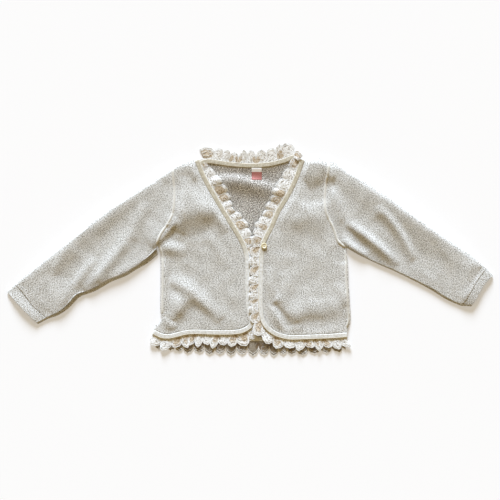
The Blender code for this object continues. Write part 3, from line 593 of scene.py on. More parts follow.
def lumps(x, y):
    """Small uneven swellings of laid cloth."""
    a, b, c, d = SMALL_LUMPS
    small = np.sin(x / a + 1.3 * np.sin(y / b)) * np.sin(y / c + 1.1 * np.sin(x / d))
    a, b, c, d = BROAD_LUMPS
    broad = np.sin(x / a - y / b + 1.7) * np.sin(y / c + x / d)
    return LUMP * (small + broad)


TUBE_COLUMNS = finer(ARMHOLE_COLUMNS, FINER)
TUBE_UNDER = finer(UNDER_COLUMNS, FINER)


def at_lengths(line, distances):
    """The places at the given distances along a line of points."""
    along = lengths(line)
    return np.column_stack([np.interp(distances, along, line[:, 0]), np.interp(distances, along, line[:, 1])])


def between(line, columns, first, last):
    """The line's places at the given columns, but for its two ends, which are at lengths of their own."""
    at = np.interp(columns, TUBE_COLUMNS, lengths(line))
    at[0], at[-1] = first, last
    return at_lengths(line, at)


def tube_rings(start, end, low, top, sections, folds, ledges, puff):
    """Rings of a tube laid flat. Start and end cross it from its lower edge to its upper."""
    along = even(sections)
    plan = patch(start, end, smooth_line(low, along), smooth_line(top, along), TUBE_COLUMNS, along)
    ledges = np.interp(along, even(len(ledges)), ledges)
    rings = []
    for line, ledge in zip(plan, ledges):
        width = lengths(line)[-1]
        wall = between(line, TUBE_COLUMNS, ledge + LEDGE_TO_WALL, width - WALL_IN)
        beneath = between(line, TUBE_UNDER, UNDER_IN, width - UNDER_IN)[::-1]
        middle = np.sin(np.pi * TUBE_COLUMNS) ** PUFF_SHAPE
        creases = relief(*wall.T, SMALL_CREASES) + lumps(*wall.T)
        hollow = puff * middle + FOLD_GAIN * relief(*wall.T, folds) + middle * creases
        height = 2 * KNIT + LEAST_HOLLOW + softened(hollow)
        lower_fold = at_lengths(line, [rim.inwards for rim in LOWER_FOLD] + [ledge])
        upper_fold = at_lengths(line, [width - rim.inwards for rim in UPPER_FOLD])
        rings.append(
            np.vstack([
                np.column_stack([lower_fold, [rim.height for rim in LOWER_FOLD] + [LEDGE_HEIGHT]]),
                np.column_stack([wall, height]),
                np.column_stack([upper_fold, [rim.height for rim in UPPER_FOLD]]),
                np.column_stack([beneath, np.zeros(len(beneath))]),
            ])
        )
    return np.array(rings)


def binding_line(points, corner, rows, columns):
    """A front's edge cut at the given fractions, down to its corner and then along the hem."""
    fine = drawn(points, FINE)
    cut = np.hypot(*(fine - np.array(points[corner])).T).argmin() / (FINE - 1)
    return smooth_line(points, np.concatenate([cut * rows, cut + (1 - cut) * columns[1:]]))


def front_side(half):
    """A front's outer edge: up the side and up the armhole, with a row at the foot of the shoulder's roll."""
    rows = even(SIDE_ROWS + half.under_arm)
    below = moved(smooth_line(half.side, rows), half.inward * ROLL_OUT)
    above = moved(smooth_line(half.armhole, ARMHOLE_COLUMNS), half.inward * SEAM)
    roll_row = above[-1] + (above[-2] - above[-1]) * ROLL_ROW
    return np.vstack([below[:-1], above[half.under_arm : -1], roll_row, above[-1]])


def front_plan(half):
    """Grid of a front's places, from side to binding and from hem up, and the middle line of its binding."""
    columns = np.asarray(FRONT_COLUMNS)
    outer = front_side(half)
    line = binding_line(half.edge, half.corner, 1 - fractions(outer)[::-1], 1 - columns[::-1])
    inside = moved(line, half.inward * (BAND_WIDTH / 2 + SEAM))
    inner = inside[: len(outer)][::-1]
    bottom = inside[len(outer) - 1 :][::-1]
    across = SHOULDER_START + (1 - SHOULDER_START) * columns
    top = moved(smooth_line(half.shoulder, across), half.inward * ROLL_OUT)
    outer[0], outer[-1], top[-1] = bottom[0], top[0], inner[-1]
    return patch(bottom, top, outer, inner, columns, fractions(outer)), line


def softened(swell):
    """Heights that flatten out softly as they come down to nothing."""
    return SOFT * np.logaddexp(0, swell / SOFT)


def front_height(half, x, y, line):
    """How high a front's underside is, before its edges roll down."""
    line = drawn(line, EDGE_SECTIONS)
    off = np.hypot(x[..., None] - line[:, 0], y[..., None] - line[:, 1])
    held = foot_at(half.waves, lengths(line))[off.argmin(-1)]
    released = np.clip((off.min(-1) - HELD_WIDTH) / RELEASE_WIDTH, 0, 1)
    level = held + (KNIT + LEAST_HOLLOW - held) * released
    inner = np.clip(distance_to_roll(half, x, y) / PUFF_WIDTH, 0, 1) ** PUFF_SHAPE
    loose = np.clip((off.min(-1) - HELD_WIDTH) / LOOSE_WIDTH, 0, 1)
    folds = FOLD_GAIN * relief(x, y, half.front_folds + half.sleeve_folds)
    creases = relief(x, y, SMALL_CREASES) + lumps(x, y)
    swell = FRONT_PUFF * inner + loose * (folds + inner * creases)
    return level + softened(swell) + loose * relief(x, y, BACK_CREASES)


def distance_to_roll(half, x, y):
    """Distance from a front's folded side and shoulder."""
    side = moved(smooth_line(half.side, ROLL_END * even(ROLL_FINE)), half.inward * ROLL_OUT)
    shoulder = moved(drawn(half.shoulder, ROLL_FINE), half.inward * ROLL_OUT)
    return np.minimum(distance_to(side, x, y), distance_to(shoulder, x, y))


def sleeve_and_cuff(half):
    """Rings of a sleeve and of its turned hem, which meet along the cuff's seam."""
    armhole = smooth_line(half.armhole, TUBE_COLUMNS)
    seam = smooth_line(half.cuff_seam, TUBE_COLUMNS)
    end = smooth_line(half.cuff_end, TUBE_COLUMNS)
    start = seam + (end - seam) * SEAM / np.linalg.norm(end - seam, axis=1)[:, None]
    low, top = (start[0], end[0]), (start[-1], end[-1])
    folds, ledges = half.front_folds + half.sleeve_folds, (CUFF_LEDGE, CUFF_LEDGE)
    sleeve = tube_rings(
        armhole, seam, half.sleeve_low, half.sleeve_top, SLEEVE_SECTIONS, folds, half.ledges, SLEEVE_PUFF
    )
    cuff = tube_rings(start, end, low, top, CUFF_SECTIONS, folds, ledges, CUFF_PUFF)
    return sleeve, cuff


def back_side(half, start):
    """The back's outer edge keeps clear of the rolled side and of the sleeve."""
    below = drawn(half.side, BACK_SIDE_ROWS)
    above = smooth_line(half.armhole, np.linspace(start, 1, BACK_ARMHOLE_ROWS))
    rolled = half.inward * (ROLL_OUT + ROLL)
    return np.vstack([moved(below, rolled)[:-1], moved(above, half.inward * BACK_SEAM)])


def back_shoulder(half):
    """The back's upper edge keeps clear of the rolled shoulder."""
    inset = half.inward * (ROLL_OUT + ROLL + SEAM)
    return moved(smooth_line(half.shoulder, BACK_SHOULDER_AT), inset)


def back_height(x, y):
    """The back lies flat but for the crease across its top, which shows inside the neck."""
    z = relief(x, y, BACK_FOLDS)
    return np.where(z < LEAST_RELIEF, 0.0, z)


def back_places():
    """Grid of the back's places."""
    columns = even(BACK_COLUMNS)
    left = back_side(RIGHT, ARMHOLE_COLUMNS[RIGHT.under_arm])
    right = back_side(LEFT, ARMHOLE_COLUMNS[LEFT.under_arm])
    neck = moved(drawn(NECK_EDGE, NECK_SECTIONS), NECK_TUCK - BAND_WIDTH / 2)
    top = np.vstack([back_shoulder(RIGHT), neck, back_shoulder(LEFT)[::-1]])
    top = at_lengths(top, columns * lengths(top)[-1])
    bottom = moved(smooth_line(BACK_HEM_EDGE, columns), BAND_WIDTH / 2 + SEAM)
    left[0], left[-1] = bottom[0], top[0]
    right[0], right[-1] = bottom[-1], top[-1]
    plan = patch(bottom, top, left, right, columns, fractions(left))
    plan = finer_grid(plan, FINER)
    x, y = plan[..., 0], plan[..., 1]
    return np.dstack([x, y, FOLD_GAIN * back_height(x, y) + relief(x, y, BACK_CREASES)])


def foot_at(waves, along):
    """How high the sewn edge of the lace lies, along the edge."""
    return np.interp(along, [wave.at for wave in waves], [wave.foot for wave in waves])


def node(tree, kind, inputs=None, **settings):
    """A shader node with its settings, and its inputs set to values or linked to outputs."""
    made = tree.nodes.new(kind)
    for key, value in settings.items():
        setattr(made, key, value)
    for socket, value in (inputs or {}).items():
        if isinstance(value, bpy.types.NodeSocket):
            tree.links.new(value, made.inputs[socket])
        else:
            made.inputs[socket].default_value = value
    return made


def maths(operation, *values):
    """The result of a Math node, in the tree that its values come from."""
    tree = next(value.id_data for value in values if isinstance(value, bpy.types.NodeSocket))
    return node(tree, "ShaderNodeMath", dict(enumerate(values)), operation=operation).outputs[0]


def times(*values):
    return maths("MULTIPLY", *values)


def plus(*values):
    return maths("ADD", *values)


def minus(*values):
    return maths("SUBTRACT", *values)


def squared(value):
    return maths("POWER", maths("ABSOLUTE", value), 2.0)


def stepped(value, low, high, **settings):
    """From 0 at the low value to 1 at the high one."""
    inputs = {"Value": value, "From Min": low, "From Max": high}
    return node(value.id_data, "ShaderNodeMapRange", inputs, **settings).outputs["Result"]


def mixed(share, first, second, **settings):
    """Two colours mixed, with this share of the second."""
    inputs = {"Factor": share, 6: first, 7: second}
    return node(first.id_data, "ShaderNodeMix", inputs, data_type="RGBA", **settings).outputs[2]


def noise(place, scale, detail, roughness, across=1.0):
    """A noise on the cloth's own coordinates, stretched along its rows when across is over 1."""
    inputs = {0: place, 1: (1 / across, 1.0, 1.0)}
    stretched = node(place.id_data, "ShaderNodeVectorMath", inputs, operation="MULTIPLY").outputs[0]
    inputs = {"Vector": stretched, "Scale": scale, "Detail": detail, "Roughness": roughness}
    return node(place.id_data, "ShaderNodeTexNoise", inputs, noise_dimensions="2D").outputs["Fac"]


def solid_noise(surface, scale, detail):
    """A noise on the object's coordinates."""
    place = node(surface.id_data, "ShaderNodeTexCoord").outputs["Object"]
    inputs = {"Vector": place, "Scale": scale, "Detail": detail}
    return node(surface.id_data, "ShaderNodeTexNoise", inputs).outputs["Fac"]


def ramp(amount, *stops):
    """A colour for each amount, from (amount, colour) stops."""
    made = node(amount.id_data, "ShaderNodeValToRGB", {"Fac": amount})
    elements = made.color_ramp.elements
    while len(elements) < len(stops):
        elements.new(0.5)
    for element, (position, colour) in zip(elements, stops):
        element.position = position
        element.color = (*colour, 1.0)
    return made.outputs["Color"]


def blank(name, roughness, sheen=0.0):
    """A new material and its shader."""
    made = bpy.data.materials.new(name)
    made.use_nodes = True
    surface = made.node_tree.nodes["Principled BSDF"]
    surface.inputs["Roughness"].default_value = roughness
    surface.inputs["Sheen Weight"].default_value = sheen
    surface.inputs["Sheen Roughness"].default_value = 0.5
    surface.inputs["Specular IOR Level"].default_value = 0.25
    return made, surface


def on_cloth(surface):
    """The cloth's own coordinates, and apart from them its two numbers: across the cloth and along it."""
    place = node(surface.id_data, "ShaderNodeUVMap", uv_map="UVMap").outputs["UV"]
    split = node(surface.id_data, "ShaderNodeSeparateXYZ", {0: place})
    return place, split.outputs[0], split.outputs[1]


def join(output, surface, socket):
    surface.id_data.links.new(output, surface.inputs[socket])


def bump(surface, height, distance, strength):
    inputs = {"Height": height, "Distance": distance * MM, "Strength": strength}
    join(node(surface.id_data, "ShaderNodeBump", inputs).outputs["Normal"], surface, "Normal")


def knit_finish(name, dark, mid, light):
    """Fine jersey of a marl yarn: rows of small V stitches, with the yarn's colours in short dashes."""
    made, surface = blank(name, 0.95, 0.25)
    place, across, along = on_cloth(surface)
    off = maths("ABSOLUTE", minus(maths("FRACT", times(across, 1 / (WALE * MM))), 0.5))
    turn = maths("FRACT", minus(times(along, 1 / (COURSE * MM)), off))
    strand = maths("SINE", times(turn, np.pi))
    leg = maths("SINE", times(off, 2 * np.pi))
    stitch = times(maths("POWER", strand, 0.6), maths("POWER", leg, 0.5))
    flecks = noise(place, 1 / (FLECK * MM), 1.0, 0.6, 1.25)
    clouds = noise(place, 55.0, 3.0, 0.6)
    amount = plus(flecks, times(minus(clouds, 0.5), 0.16))
    # Painted shade: the colour is a little darker in the gaps between the stitches.
    amount = plus(amount, times(minus(stitch, 0.6), 0.10))
    join(ramp(amount, (0.32, dark), (0.45, mid), (0.54, mid), (0.66, light)), surface, "Base Color")
    bump(surface, plus(stitch, times(flecks, 0.8)), 0.5, 0.75)
    return made


def band_finish():
    """Smooth pale tape with a fine rib across it, painted tan as painted shade round the neck and down the V,
    and pale down the front and the hem.
    """
    made, surface = blank("edge binding", 0.8, 0.3)
    place, _, along = on_cloth(surface)
    rib = maths("SINE", times(along, 2 * np.pi / (BAND_RIB * MM)))
    tint = noise(place, 260.0, 3.0, 0.6)
    # Painted shade: the tan stands for the shade that falls on the pale tape round the neck and down the V.
    painted_shade_tan = ramp(tint, (0.3, (0.44, 0.38, 0.27)), (0.5, (0.54, 0.49, 0.37)), (0.7, (0.66, 0.61, 0.50)))
    pale = ramp(tint, (0.3, (0.62, 0.60, 0.53)), (0.5, (0.74, 0.73, 0.68)), (0.7, (0.86, 0.85, 0.82)))
    paler = stepped(along, PAINTED_SHADE_UNTIL * MM, PALE_FROM * MM, interpolation_type="SMOOTHSTEP")
    join(mixed(paler, painted_shade_tan, pale), surface, "Base Color")
    bump(surface, plus(times(rib, 0.12), tint), 0.3, 0.7)
    return made


def net_finish(name, shade):
    """Fine see-through net worked in white. The middles of some scallops are painted tan as painted shade,
    and a shade below 1 darkens the whole net as painted shade.
    """
    made, surface = blank(name, 0.9, 0.2)
    place, across, out = on_cloth(surface)
    tree = surface.id_data
    cells = node(
        tree, "ShaderNodeTexVoronoi", {"Vector": place, "Scale": NET_CELLS}, feature="DISTANCE_TO_EDGE",
        voronoi_dimensions="2D",
    )
    threads = ramp(cells.outputs["Distance"], (0.10, (1.0, 1.0, 1.0)), (0.24, (0.0, 0.0, 0.0)))
    worked = noise(place, 380.0, 2.0, 0.6)
    white = ramp(worked, (0.33, (0.42, 0.36, 0.28)), (0.42, (0.84, 0.80, 0.71)), (0.51, (1.0, 0.99, 0.96)))
    # Painted shade: this tan stands for the shadowed middles of some scallops of the white lace.
    painted_shade_tan = ramp(worked, (0.34, (0.45, 0.34, 0.21)), (0.5, (0.60, 0.48, 0.33)), (0.68, (0.78, 0.69, 0.55)))
    turns = maths("DIVIDE", across, SCALLOP_CLOTH * MM)
    nearest = maths("ROUND", turns)
    kind = node(tree, "ShaderNodeTexWhiteNoise", {"W": nearest}, noise_dimensions="1D").outputs["Value"]
    aside = times(minus(turns, nearest), SCALLOP_CLOTH / SPOT_RADIUS)
    above = maths("DIVIDE", minus(out, SPOT_OUT * MM), SPOT_RADIUS * MM)
    spot = stepped(plus(squared(aside), squared(above)), 1.25, 0.7)
    on_hem = maths("GREATER_THAN", across, HEM_LACE_FROM * MM)
    share = minus(SHADED_SCALLOP_SHARE, times(on_hem, SHADED_SCALLOP_SHARE - HEM_SHADED_SCALLOP_SHARE))
    # The chosen scallops get a tan middle of painted shade.
    painted_shade_spot = times(spot, maths("LESS_THAN", kind, share))
    # A shade below 1 multiplies the whole net darker: a darker copy of it, as painted shade.
    shades = (shade, shade**1.15, shade**1.4, 1.0)
    shaded = mixed(1.0, mixed(painted_shade_spot, white, painted_shade_tan), shades, blend_type="MULTIPLY")
    join(shaded, surface, "Base Color")
    solid = plus(times(threads, 0.4), times(worked, 1.4))
    alpha = node(tree, "ShaderNodeClamp", {"Value": solid, "Min": 0.4, "Max": 1.0}).outputs[0]
    join(alpha, surface, "Alpha")
    bump(surface, plus(threads, worked), 0.3, 0.6)
    return made


def thread_finish(name, colour):
    """Twisted cotton thread."""
    made, surface = blank(name, 0.75, 0.3)
    twist = solid_noise(surface, 900.0, 2.0)
    darker = tuple(0.72 * part for part in colour)
    join(ramp(twist, (0.35, darker), (0.6, colour)), surface, "Base Color")
    bump(surface, twist, 0.3, 0.6)
    return made


def shell_finish():
    """Polished shell with soft cloudy layers."""
    made, surface = blank("button shell", 0.22)
    layers = solid_noise(surface, 260.0, 3.0)
    join(ramp(layers, (0.35, (0.68, 0.56, 0.28)), (0.6, (0.88, 0.82, 0.60))), surface, "Base Color")
    surface.inputs["Specular IOR Level"].default_value = 0.6
    surface.inputs["Coat Weight"].default_value = 0.5
    return made


def label_finish():
    """Woven tape, white above and pinkish red below."""
    made, surface = blank("label tape", 0.7)
    place, _, along = on_cloth(surface)
    upper = maths("GREATER_THAN", along, LABEL_FOLD * LABEL_SIZE[1] * MM)
    weave = noise(place, 900.0, 2.0, 0.6)
    red = ramp(weave, (0.35, (0.36, 0.12, 0.10)), (0.65, (0.58, 0.26, 0.23)))
    white = ramp(weave, (0.35, (0.93, 0.91, 0.87)), (0.65, (1.0, 0.99, 0.97)))
    join(mixed(upper, red, white), surface, "Base Color")
    bump(surface, weave, 0.2, 0.5)
    return made


def sheet_grid(name, places, cloth_places, around=False):
    """A grid laid over rows of places. It keeps the cloth's own coordinates, in metres, as its UV map."""
    rows, columns = places.shape[:2]
    bpy.ops.mesh.primitive_grid_add(x_subdivisions=columns - 1, y_subdivisions=rows - 1, size=1)
    obj = bpy.context.object
    obj.name = name
    obj.data.name = name
    mesh = obj.data
    mesh.vertices.foreach_set("co", (places * MM).reshape(-1))
    corners = np.zeros(len(mesh.loops), int)
    mesh.loops.foreach_get("vertex_index", corners)
    mesh.uv_layers.active.name = "UVMap"
    mesh.uv_layers.active.data.foreach_set("uv", (cloth_places.reshape(-1, 2)[corners] * MM).reshape(-1))
    if around:
        edit(obj, bpy.ops.mesh.remove_doubles, threshold=1e-6)
    mesh.update()
    mesh.shade_smooth()
    return obj


def pick(obj):
    """Selects one object alone."""
    bpy.ops.object.select_all(action="DESELECT")
    obj.select_set(True)
    bpy.context.view_layer.objects.active = obj


def edit(obj, action, **settings):
    """One edit mode operator on the whole of an object."""
    pick(obj)
    bpy.ops.object.mode_set(mode="EDIT")
    bpy.ops.mesh.select_all(action="SELECT")
    action(**settings)
    bpy.ops.object.mode_set(mode="OBJECT")


def apply(obj, kind, **settings):
    """Adds a modifier and applies it."""
    pick(obj)
    made = obj.modifiers.new("Shape", kind)
    for key, value in settings.items():
        setattr(made, key, value)
    bpy.ops.object.modifier_apply(modifier=made.name)


def face_up(obj):
    """Turns an open sheet so that it faces up."""
    normals = np.zeros(len(obj.data.polygons) * 3)
    obj.data.polygons.foreach_get("normal", normals)
    if normals.reshape(-1, 3)[:, 2].sum() < 0:
        edit(obj, bpy.ops.mesh.flip_normals)


def rigged(obj, finish, slot, *nodes):
    """Finishes a piece: none of it under the floor, its material, its place and the solids it stands for."""
    for vertex in obj.data.vertices:
        vertex.co.z = max(vertex.co.z, 0.0)
    obj.data.materials.clear()
    obj.data.materials.append(finish)
    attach(obj, "root")
    if nodes:
        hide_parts(*nodes)
    return obj


def panel(name, places, finish, node_name):
    """A knitted panel with its wales running up it."""
    obj = sheet_grid(name, places, places[..., :2])
    face_up(obj)
    apply(obj, "SUBSURF", levels=1, render_levels=1)
    apply(obj, "SOLIDIFY", thickness=KNIT * MM, offset=1.0)
    return rigged(obj, finish, "knit", node_name)


def front_panel(half, finish):
    """A front, which rolls down at its side and its shoulder. Gives back the middle line of its binding."""
    plan, line = front_plan(half)
    plan = finer_grid(plan, PANEL_FINER)
    x, y = plan[..., 0], plan[..., 1]
    z = front_height(half, x, y, line)
    z -= ROLL_DROP * (1 - np.clip(distance_to_roll(half, x, y) / ROLL, 0, 1)) ** 2
    obj = panel(f"front_{half.name}_knit", np.dstack([x, y, z]), finish, f"front_{half.name}")
    return line


def back_panel(finish):
    places = back_places()
    obj = panel("back_knit", places, finish, "back")


def tube_piece(name, outer, finish, node_name):
    """A tube of cloth laid flat. Its wales run along it."""
    closed = np.concatenate([outer, outer[:, :1]], axis=1)
    around = np.linalg.norm(np.diff(closed, axis=1), axis=2)
    around = np.concatenate([np.zeros((len(closed), 1)), np.cumsum(around, axis=1)], axis=1)
    middle = outer.mean(axis=1)
    along = np.concatenate([[0.0], np.cumsum(np.linalg.norm(np.diff(middle, axis=0), axis=1))])
    flat = np.dstack([around, np.broadcast_to(along[:, None], around.shape)])
    obj = sheet_grid(name, closed, flat, around=True)
    edit(obj, bpy.ops.mesh.normals_make_consistent, inside=False)
    apply(obj, "SUBSURF", levels=1, render_levels=1)
    apply(obj, "SOLIDIFY", thickness=TUBE_WALL * KNIT * MM, offset=-1.0)
    rigged(obj, finish, "knit", node_name)


def bar_piece(name, line, underside, finish, node_name, start):
    """A rounded binding along a line, which starts at the given length of its cloth."""
    beside = left_of(line)
    turns = np.linspace(0, 2 * np.pi, BAND_TURNS)
    circle = (np.cos(turns), np.sin(turns))
    beyond, above = (np.sign(part) * np.abs(part) ** shape for part, shape in zip(circle, BAND_SQUARE))
    across = beyond * (BAND_WIDTH / 2 + BAND_SPREAD)
    up = (0.5 + 0.5 * above) * BAND_THICKNESS
    places = np.zeros((len(line), len(turns), 3))
    places[..., :2] = line[:, None] + beside[:, None] * across[None, :, None]
    places[..., 2] = underside[:, None] + up
    along = start + lengths(line)
    round_it = np.concatenate([[0.0], np.cumsum(np.hypot(np.diff(across), np.diff(up)))])
    cloth_places = np.dstack(np.broadcast_arrays(round_it[None, :], along[:, None]))
    obj = sheet_grid(name, places, cloth_places, around=True)
    edit(obj, bpy.ops.mesh.fill_holes, sides=0)
    edit(obj, bpy.ops.mesh.normals_make_consistent, inside=False)
    return rigged(obj, finish, "band", node_name)


def cords(name, paths, radius, finish, slot):
    """Threads of one thickness along paths of places, as one mesh."""
    curve = bpy.data.curves.new(name, "CURVE")
    curve.dimensions = "3D"
    curve.bevel_depth = radius * MM
    curve.bevel_resolution = 1
    curve.use_fill_caps = True
    for path in paths:
        spline = curve.splines.new("POLY")
        spline.points.add(len(path) - 1)
        spline.points.foreach_set("co", np.column_stack([path * MM, np.ones(len(path))]).reshape(-1))
    obj = bpy.data.objects.new(name, curve)
    bpy.context.scene.collection.objects.link(obj)
    pick(obj)
    bpy.ops.object.convert(target="MESH")
    obj = bpy.context.object
    edit(obj, bpy.ops.mesh.remove_doubles, threshold=1e-6)
    return rigged(obj, finish, slot)


class Trim:
    """A gathered strip of lace. Its places are given by turns, whole at crests, and by how far out they are.

    The points say how pointed its scallops are along its edge, and beneath gives the height of what it lies
    on.
    """

    def __init__(self, name, line, outward, waves, points, beneath=None):
        self.name = name
        self.points = np.array(points, float)
        self.line = drawn(line, FINE)
        self.along = lengths(self.line)
        self.side = left_of(self.line) * outward
        self.beneath = beneath
        at = [wave.at for wave in waves]
        self.at = np.array([2 * at[0] - at[1], *at, 2 * at[-1] - at[-2]], float)
        rows = [waves[0], *waves, waves[-1]]
        self.columns = {part: [getattr(row, part) for row in rows] for part in Wave._fields[1:]}
        self.turn_at = np.arange(len(self.at))
        self.first = float(np.interp(0.0, self.at, self.turn_at))
        self.last = float(np.interp(self.along[-1], self.at, self.turn_at))

    def value(self, part, turns):
        return np.interp(turns, self.turn_at, self.columns[part])

    def reach(self, turns):
        """Scallops, one to each crest, with a fine picot edge."""
        off = 2 * np.abs(turns - np.round(turns))
        pointed = np.interp(np.interp(turns, self.turn_at, self.at), *self.points.T)
        round_off = 1 - np.sqrt(1 - ROUND_TIP * off**2)
        dip = (1 - pointed) * round_off + pointed * POINTED_TIP[0] * off ** POINTED_TIP[1]
        picot = PICOT * (0.5 - 0.5 * np.cos(2 * np.pi * PICOTS * turns))
        return self.value("reach", turns) * (1 - SCALLOP_DEPTH * dip) - picot

    def pitch(self, turns):
        """Length of sewn edge to a wave."""
        return np.interp(turns + 0.5, self.turn_at, self.at) - np.interp(turns - 0.5, self.turn_at, self.at)

    def places(self, turns, out, lift):
        """Places on the lace, which fans out over each crest and draws together between them."""
        turns, out = np.broadcast_arrays(np.asarray(turns, float), np.asarray(out, float))
        free = np.clip((out - FREE_FROM) / (1 - FREE_FROM), 0, 1)
        crest = 0.5 + 0.5 * np.cos(2 * np.pi * turns)
        along = np.interp(turns, self.turn_at, self.at)
        fuller = FULLER_CREST * free * self.pitch(turns) / (2 * np.pi) * np.sin(2 * np.pi * turns)
        shift = self.value("lean", turns) * crest * free + fuller
        reach = self.reach(turns) * out
        x, y = (
            np.interp(along, self.along, line)
            + np.interp(along, self.along, side) * reach
            + np.interp(along, self.along, np.gradient(line, self.along)) * shift
            for line, side in zip(self.line.T, self.side.T)
        )
        foot, tip, rise = (self.value(part, turns) for part in ("foot", "tip", "rise"))
        z = foot + (tip - foot) * free + RISE_GAIN * rise * crest * free**RISE_SHAPE
        fullness = LEAST_PUFF + (1 - LEAST_PUFF) * crest
        z = z + GATHER_PUFF * np.sin(np.pi * np.clip(out, 0, 1) ** PUFF_OUT) * fullness
        if self.beneath:
            z = z + FOLD_GAIN * self.beneath(x, y)
        return np.stack([x, y, z + lift], -1)


def scallop_paths(trim, crest):
    """Cords on one scallop, about its middle: a flower's outline and a row of eyelets."""
    pitch = float(trim.pitch(crest))
    reach = float(trim.reach(crest))
    paths = []

    def lay(along, out):
        turns = crest + np.asarray(along) / pitch
        if turns.min() > trim.first and turns.max() < trim.last:
            paths.append(trim.places(turns, out / trim.reach(turns), NET_UP + NET + FLOWER_CORD / 2))

    turn = 2 * np.pi * even(FLOWER_STEPS)
    size = min(pitch * FLOWER_WIDTH, LARGEST_FLOWER)
    petals = size * (1 - PETAL_DEPTH + PETAL_DEPTH * np.cos(PETALS * turn))
    lay(petals * np.cos(turn), FLOWER_OUT * reach + petals * np.sin(turn))
    turn = 2 * np.pi * even(EYELET_STEPS)
    for number in np.linspace(-1, 1, EYELETS):
        middle = number * EYELET_SPREAD * pitch
        edge = float(trim.reach(crest + middle / pitch))
        lay(middle + EYELET_RADIUS * np.cos(turn), edge - EYELET_IN + EYELET_RADIUS * np.sin(turn))
    return paths


def lace_piece(trim, net, thread, node_name):
    """The net of a strip of lace, and the cords on it."""
    turns = np.linspace(trim.first, trim.last, int((trim.last - trim.first) * WAVE_STEPS) + 1)
    out = even(LACE_ROWS)
    places = trim.places(turns[None, :], out[:, None], NET_UP)
    reach = trim.value("reach", turns)
    along = np.interp(turns, trim.turn_at, trim.at)
    half_on = 0.5 * np.interp(along, *trim.points.T)
    cloth_along = SCALLOP_CLOTH * (turns + half_on)
    flat = np.dstack(np.broadcast_arrays(cloth_along[None, :], out[:, None] * reach[None, :]))
    obj = sheet_grid(f"{trim.name}_net", places, flat)
    face_up(obj)
    apply(obj, "SOLIDIFY", thickness=NET * MM, offset=1.0)
    rigged(obj, net, "lace", node_name)
    rim = trim.places(turns, np.ones_like(turns), NET_UP + NET / 2)
    inner_out = 1 - INNER_EDGE / trim.reach(turns)
    inner = trim.places(turns, inner_out, NET_UP + NET)
    rim[:, 2] = np.maximum(rim[:, 2], RIM_CORD)
    edge = cords(f"{trim.name}_rim", [rim], RIM_CORD, thread, "lace")
    line = cords(f"{trim.name}_inner_cord", [inner], INNER_CORD, thread, "lace")
    paths = []
    for crest in range(int(np.ceil(trim.first)), int(np.floor(trim.last)) + 1, 2):
        paths += scallop_paths(trim, crest)
    flowers = cords(f"{trim.name}_flowers", paths, FLOWER_CORD, thread, "lace")


def button_piece(shell, thread):
    """A two-hole shell button with a raised rim, and the thread through its holes."""
    line = drawn(LEFT.edge, FINE)
    along = lengths(line)[np.hypot(*(line - np.array(BUTTON_AT)).T).argmin()]
    seat = foot_at(LEFT.waves, along) + LACE + SEAM + BAND_THICKNESS + SEAM
    turns = np.linspace(0, 2 * np.pi, BUTTON_TURNS)
    profile = np.array(BUTTON_PROFILE)
    places = np.zeros((len(profile), len(turns), 3))
    places[..., 0] = BUTTON_AT[0] + profile[:, :1] * np.cos(turns)
    places[..., 1] = BUTTON_AT[1] + profile[:, :1] * np.sin(turns)
    places[..., 2] = seat + profile[:, 1:]
    obj = sheet_grid("shell_button", places, places[..., :2], around=True)
    edit(obj, bpy.ops.mesh.fill_holes, sides=0)
    edit(obj, bpy.ops.mesh.normals_make_consistent, inside=False)
    for away in (-0.5, 0.5):
        bpy.ops.mesh.primitive_cylinder_add(
            vertices=DRILL_SIDES, radius=BUTTON_HOLE_RADIUS * MM, depth=DRILL_LENGTH * MM,
            location=(BUTTON_AT[0] * MM, (BUTTON_AT[1] + away * BUTTON_HOLES_APART) * MM, seat * MM),
        )
        drill = bpy.context.object
        apply(obj, "BOOLEAN", object=drill, operation="DIFFERENCE")
        bpy.data.objects.remove(drill)
    rigged(obj, shell, "button", "button")
    loop = np.array([(0.0, along, up) for along, up in BUTTON_LOOP])
    strands = [loop + (BUTTON_AT[0] + beside, BUTTON_AT[1], seat) for beside in BUTTON_STRANDS]
    cords("button_thread", strands, STRAND_RADIUS, thread, "button")


def label_piece(finish):
    """The bare label, on the raised cloth of the back neck."""
    across = LABEL_AT[0] + np.linspace(-0.5, 0.5, LABEL_COLUMNS) * LABEL_SIZE[0]
    up = LABEL_AT[1] + np.linspace(-0.5, 0.5, LABEL_ROWS) * LABEL_SIZE[1]
    x, y = np.meshgrid(across, up)
    z = FOLD_GAIN * back_height(x, y) + KNIT + LABEL_CLEARANCE
    flat = np.dstack([x - across[0], y - up[0]])
    obj = sheet_grid("neck_label", np.dstack([x, y, z]), flat)
    face_up(obj)
    apply(obj, "SOLIDIFY", thickness=LABEL_THICKNESS * MM, offset=1.0)
    rigged(obj, finish, "label", "label")


def stitches(name, line, height, finish):
    """Straight stitches along a line."""
    along = lengths(line)
    ahead, up = np.array(STITCH_SHAPE).T
    paths = []
    for start in np.arange(STITCH_GAP, along[-1] - STITCH, STITCH + STITCH_GAP):
        at = start + STITCH * ahead
        paths.append(np.column_stack([at_lengths(line, at), np.interp(at, along, height) + up]))
    return cords(name, paths, STITCH_RADIUS, finish, "band")


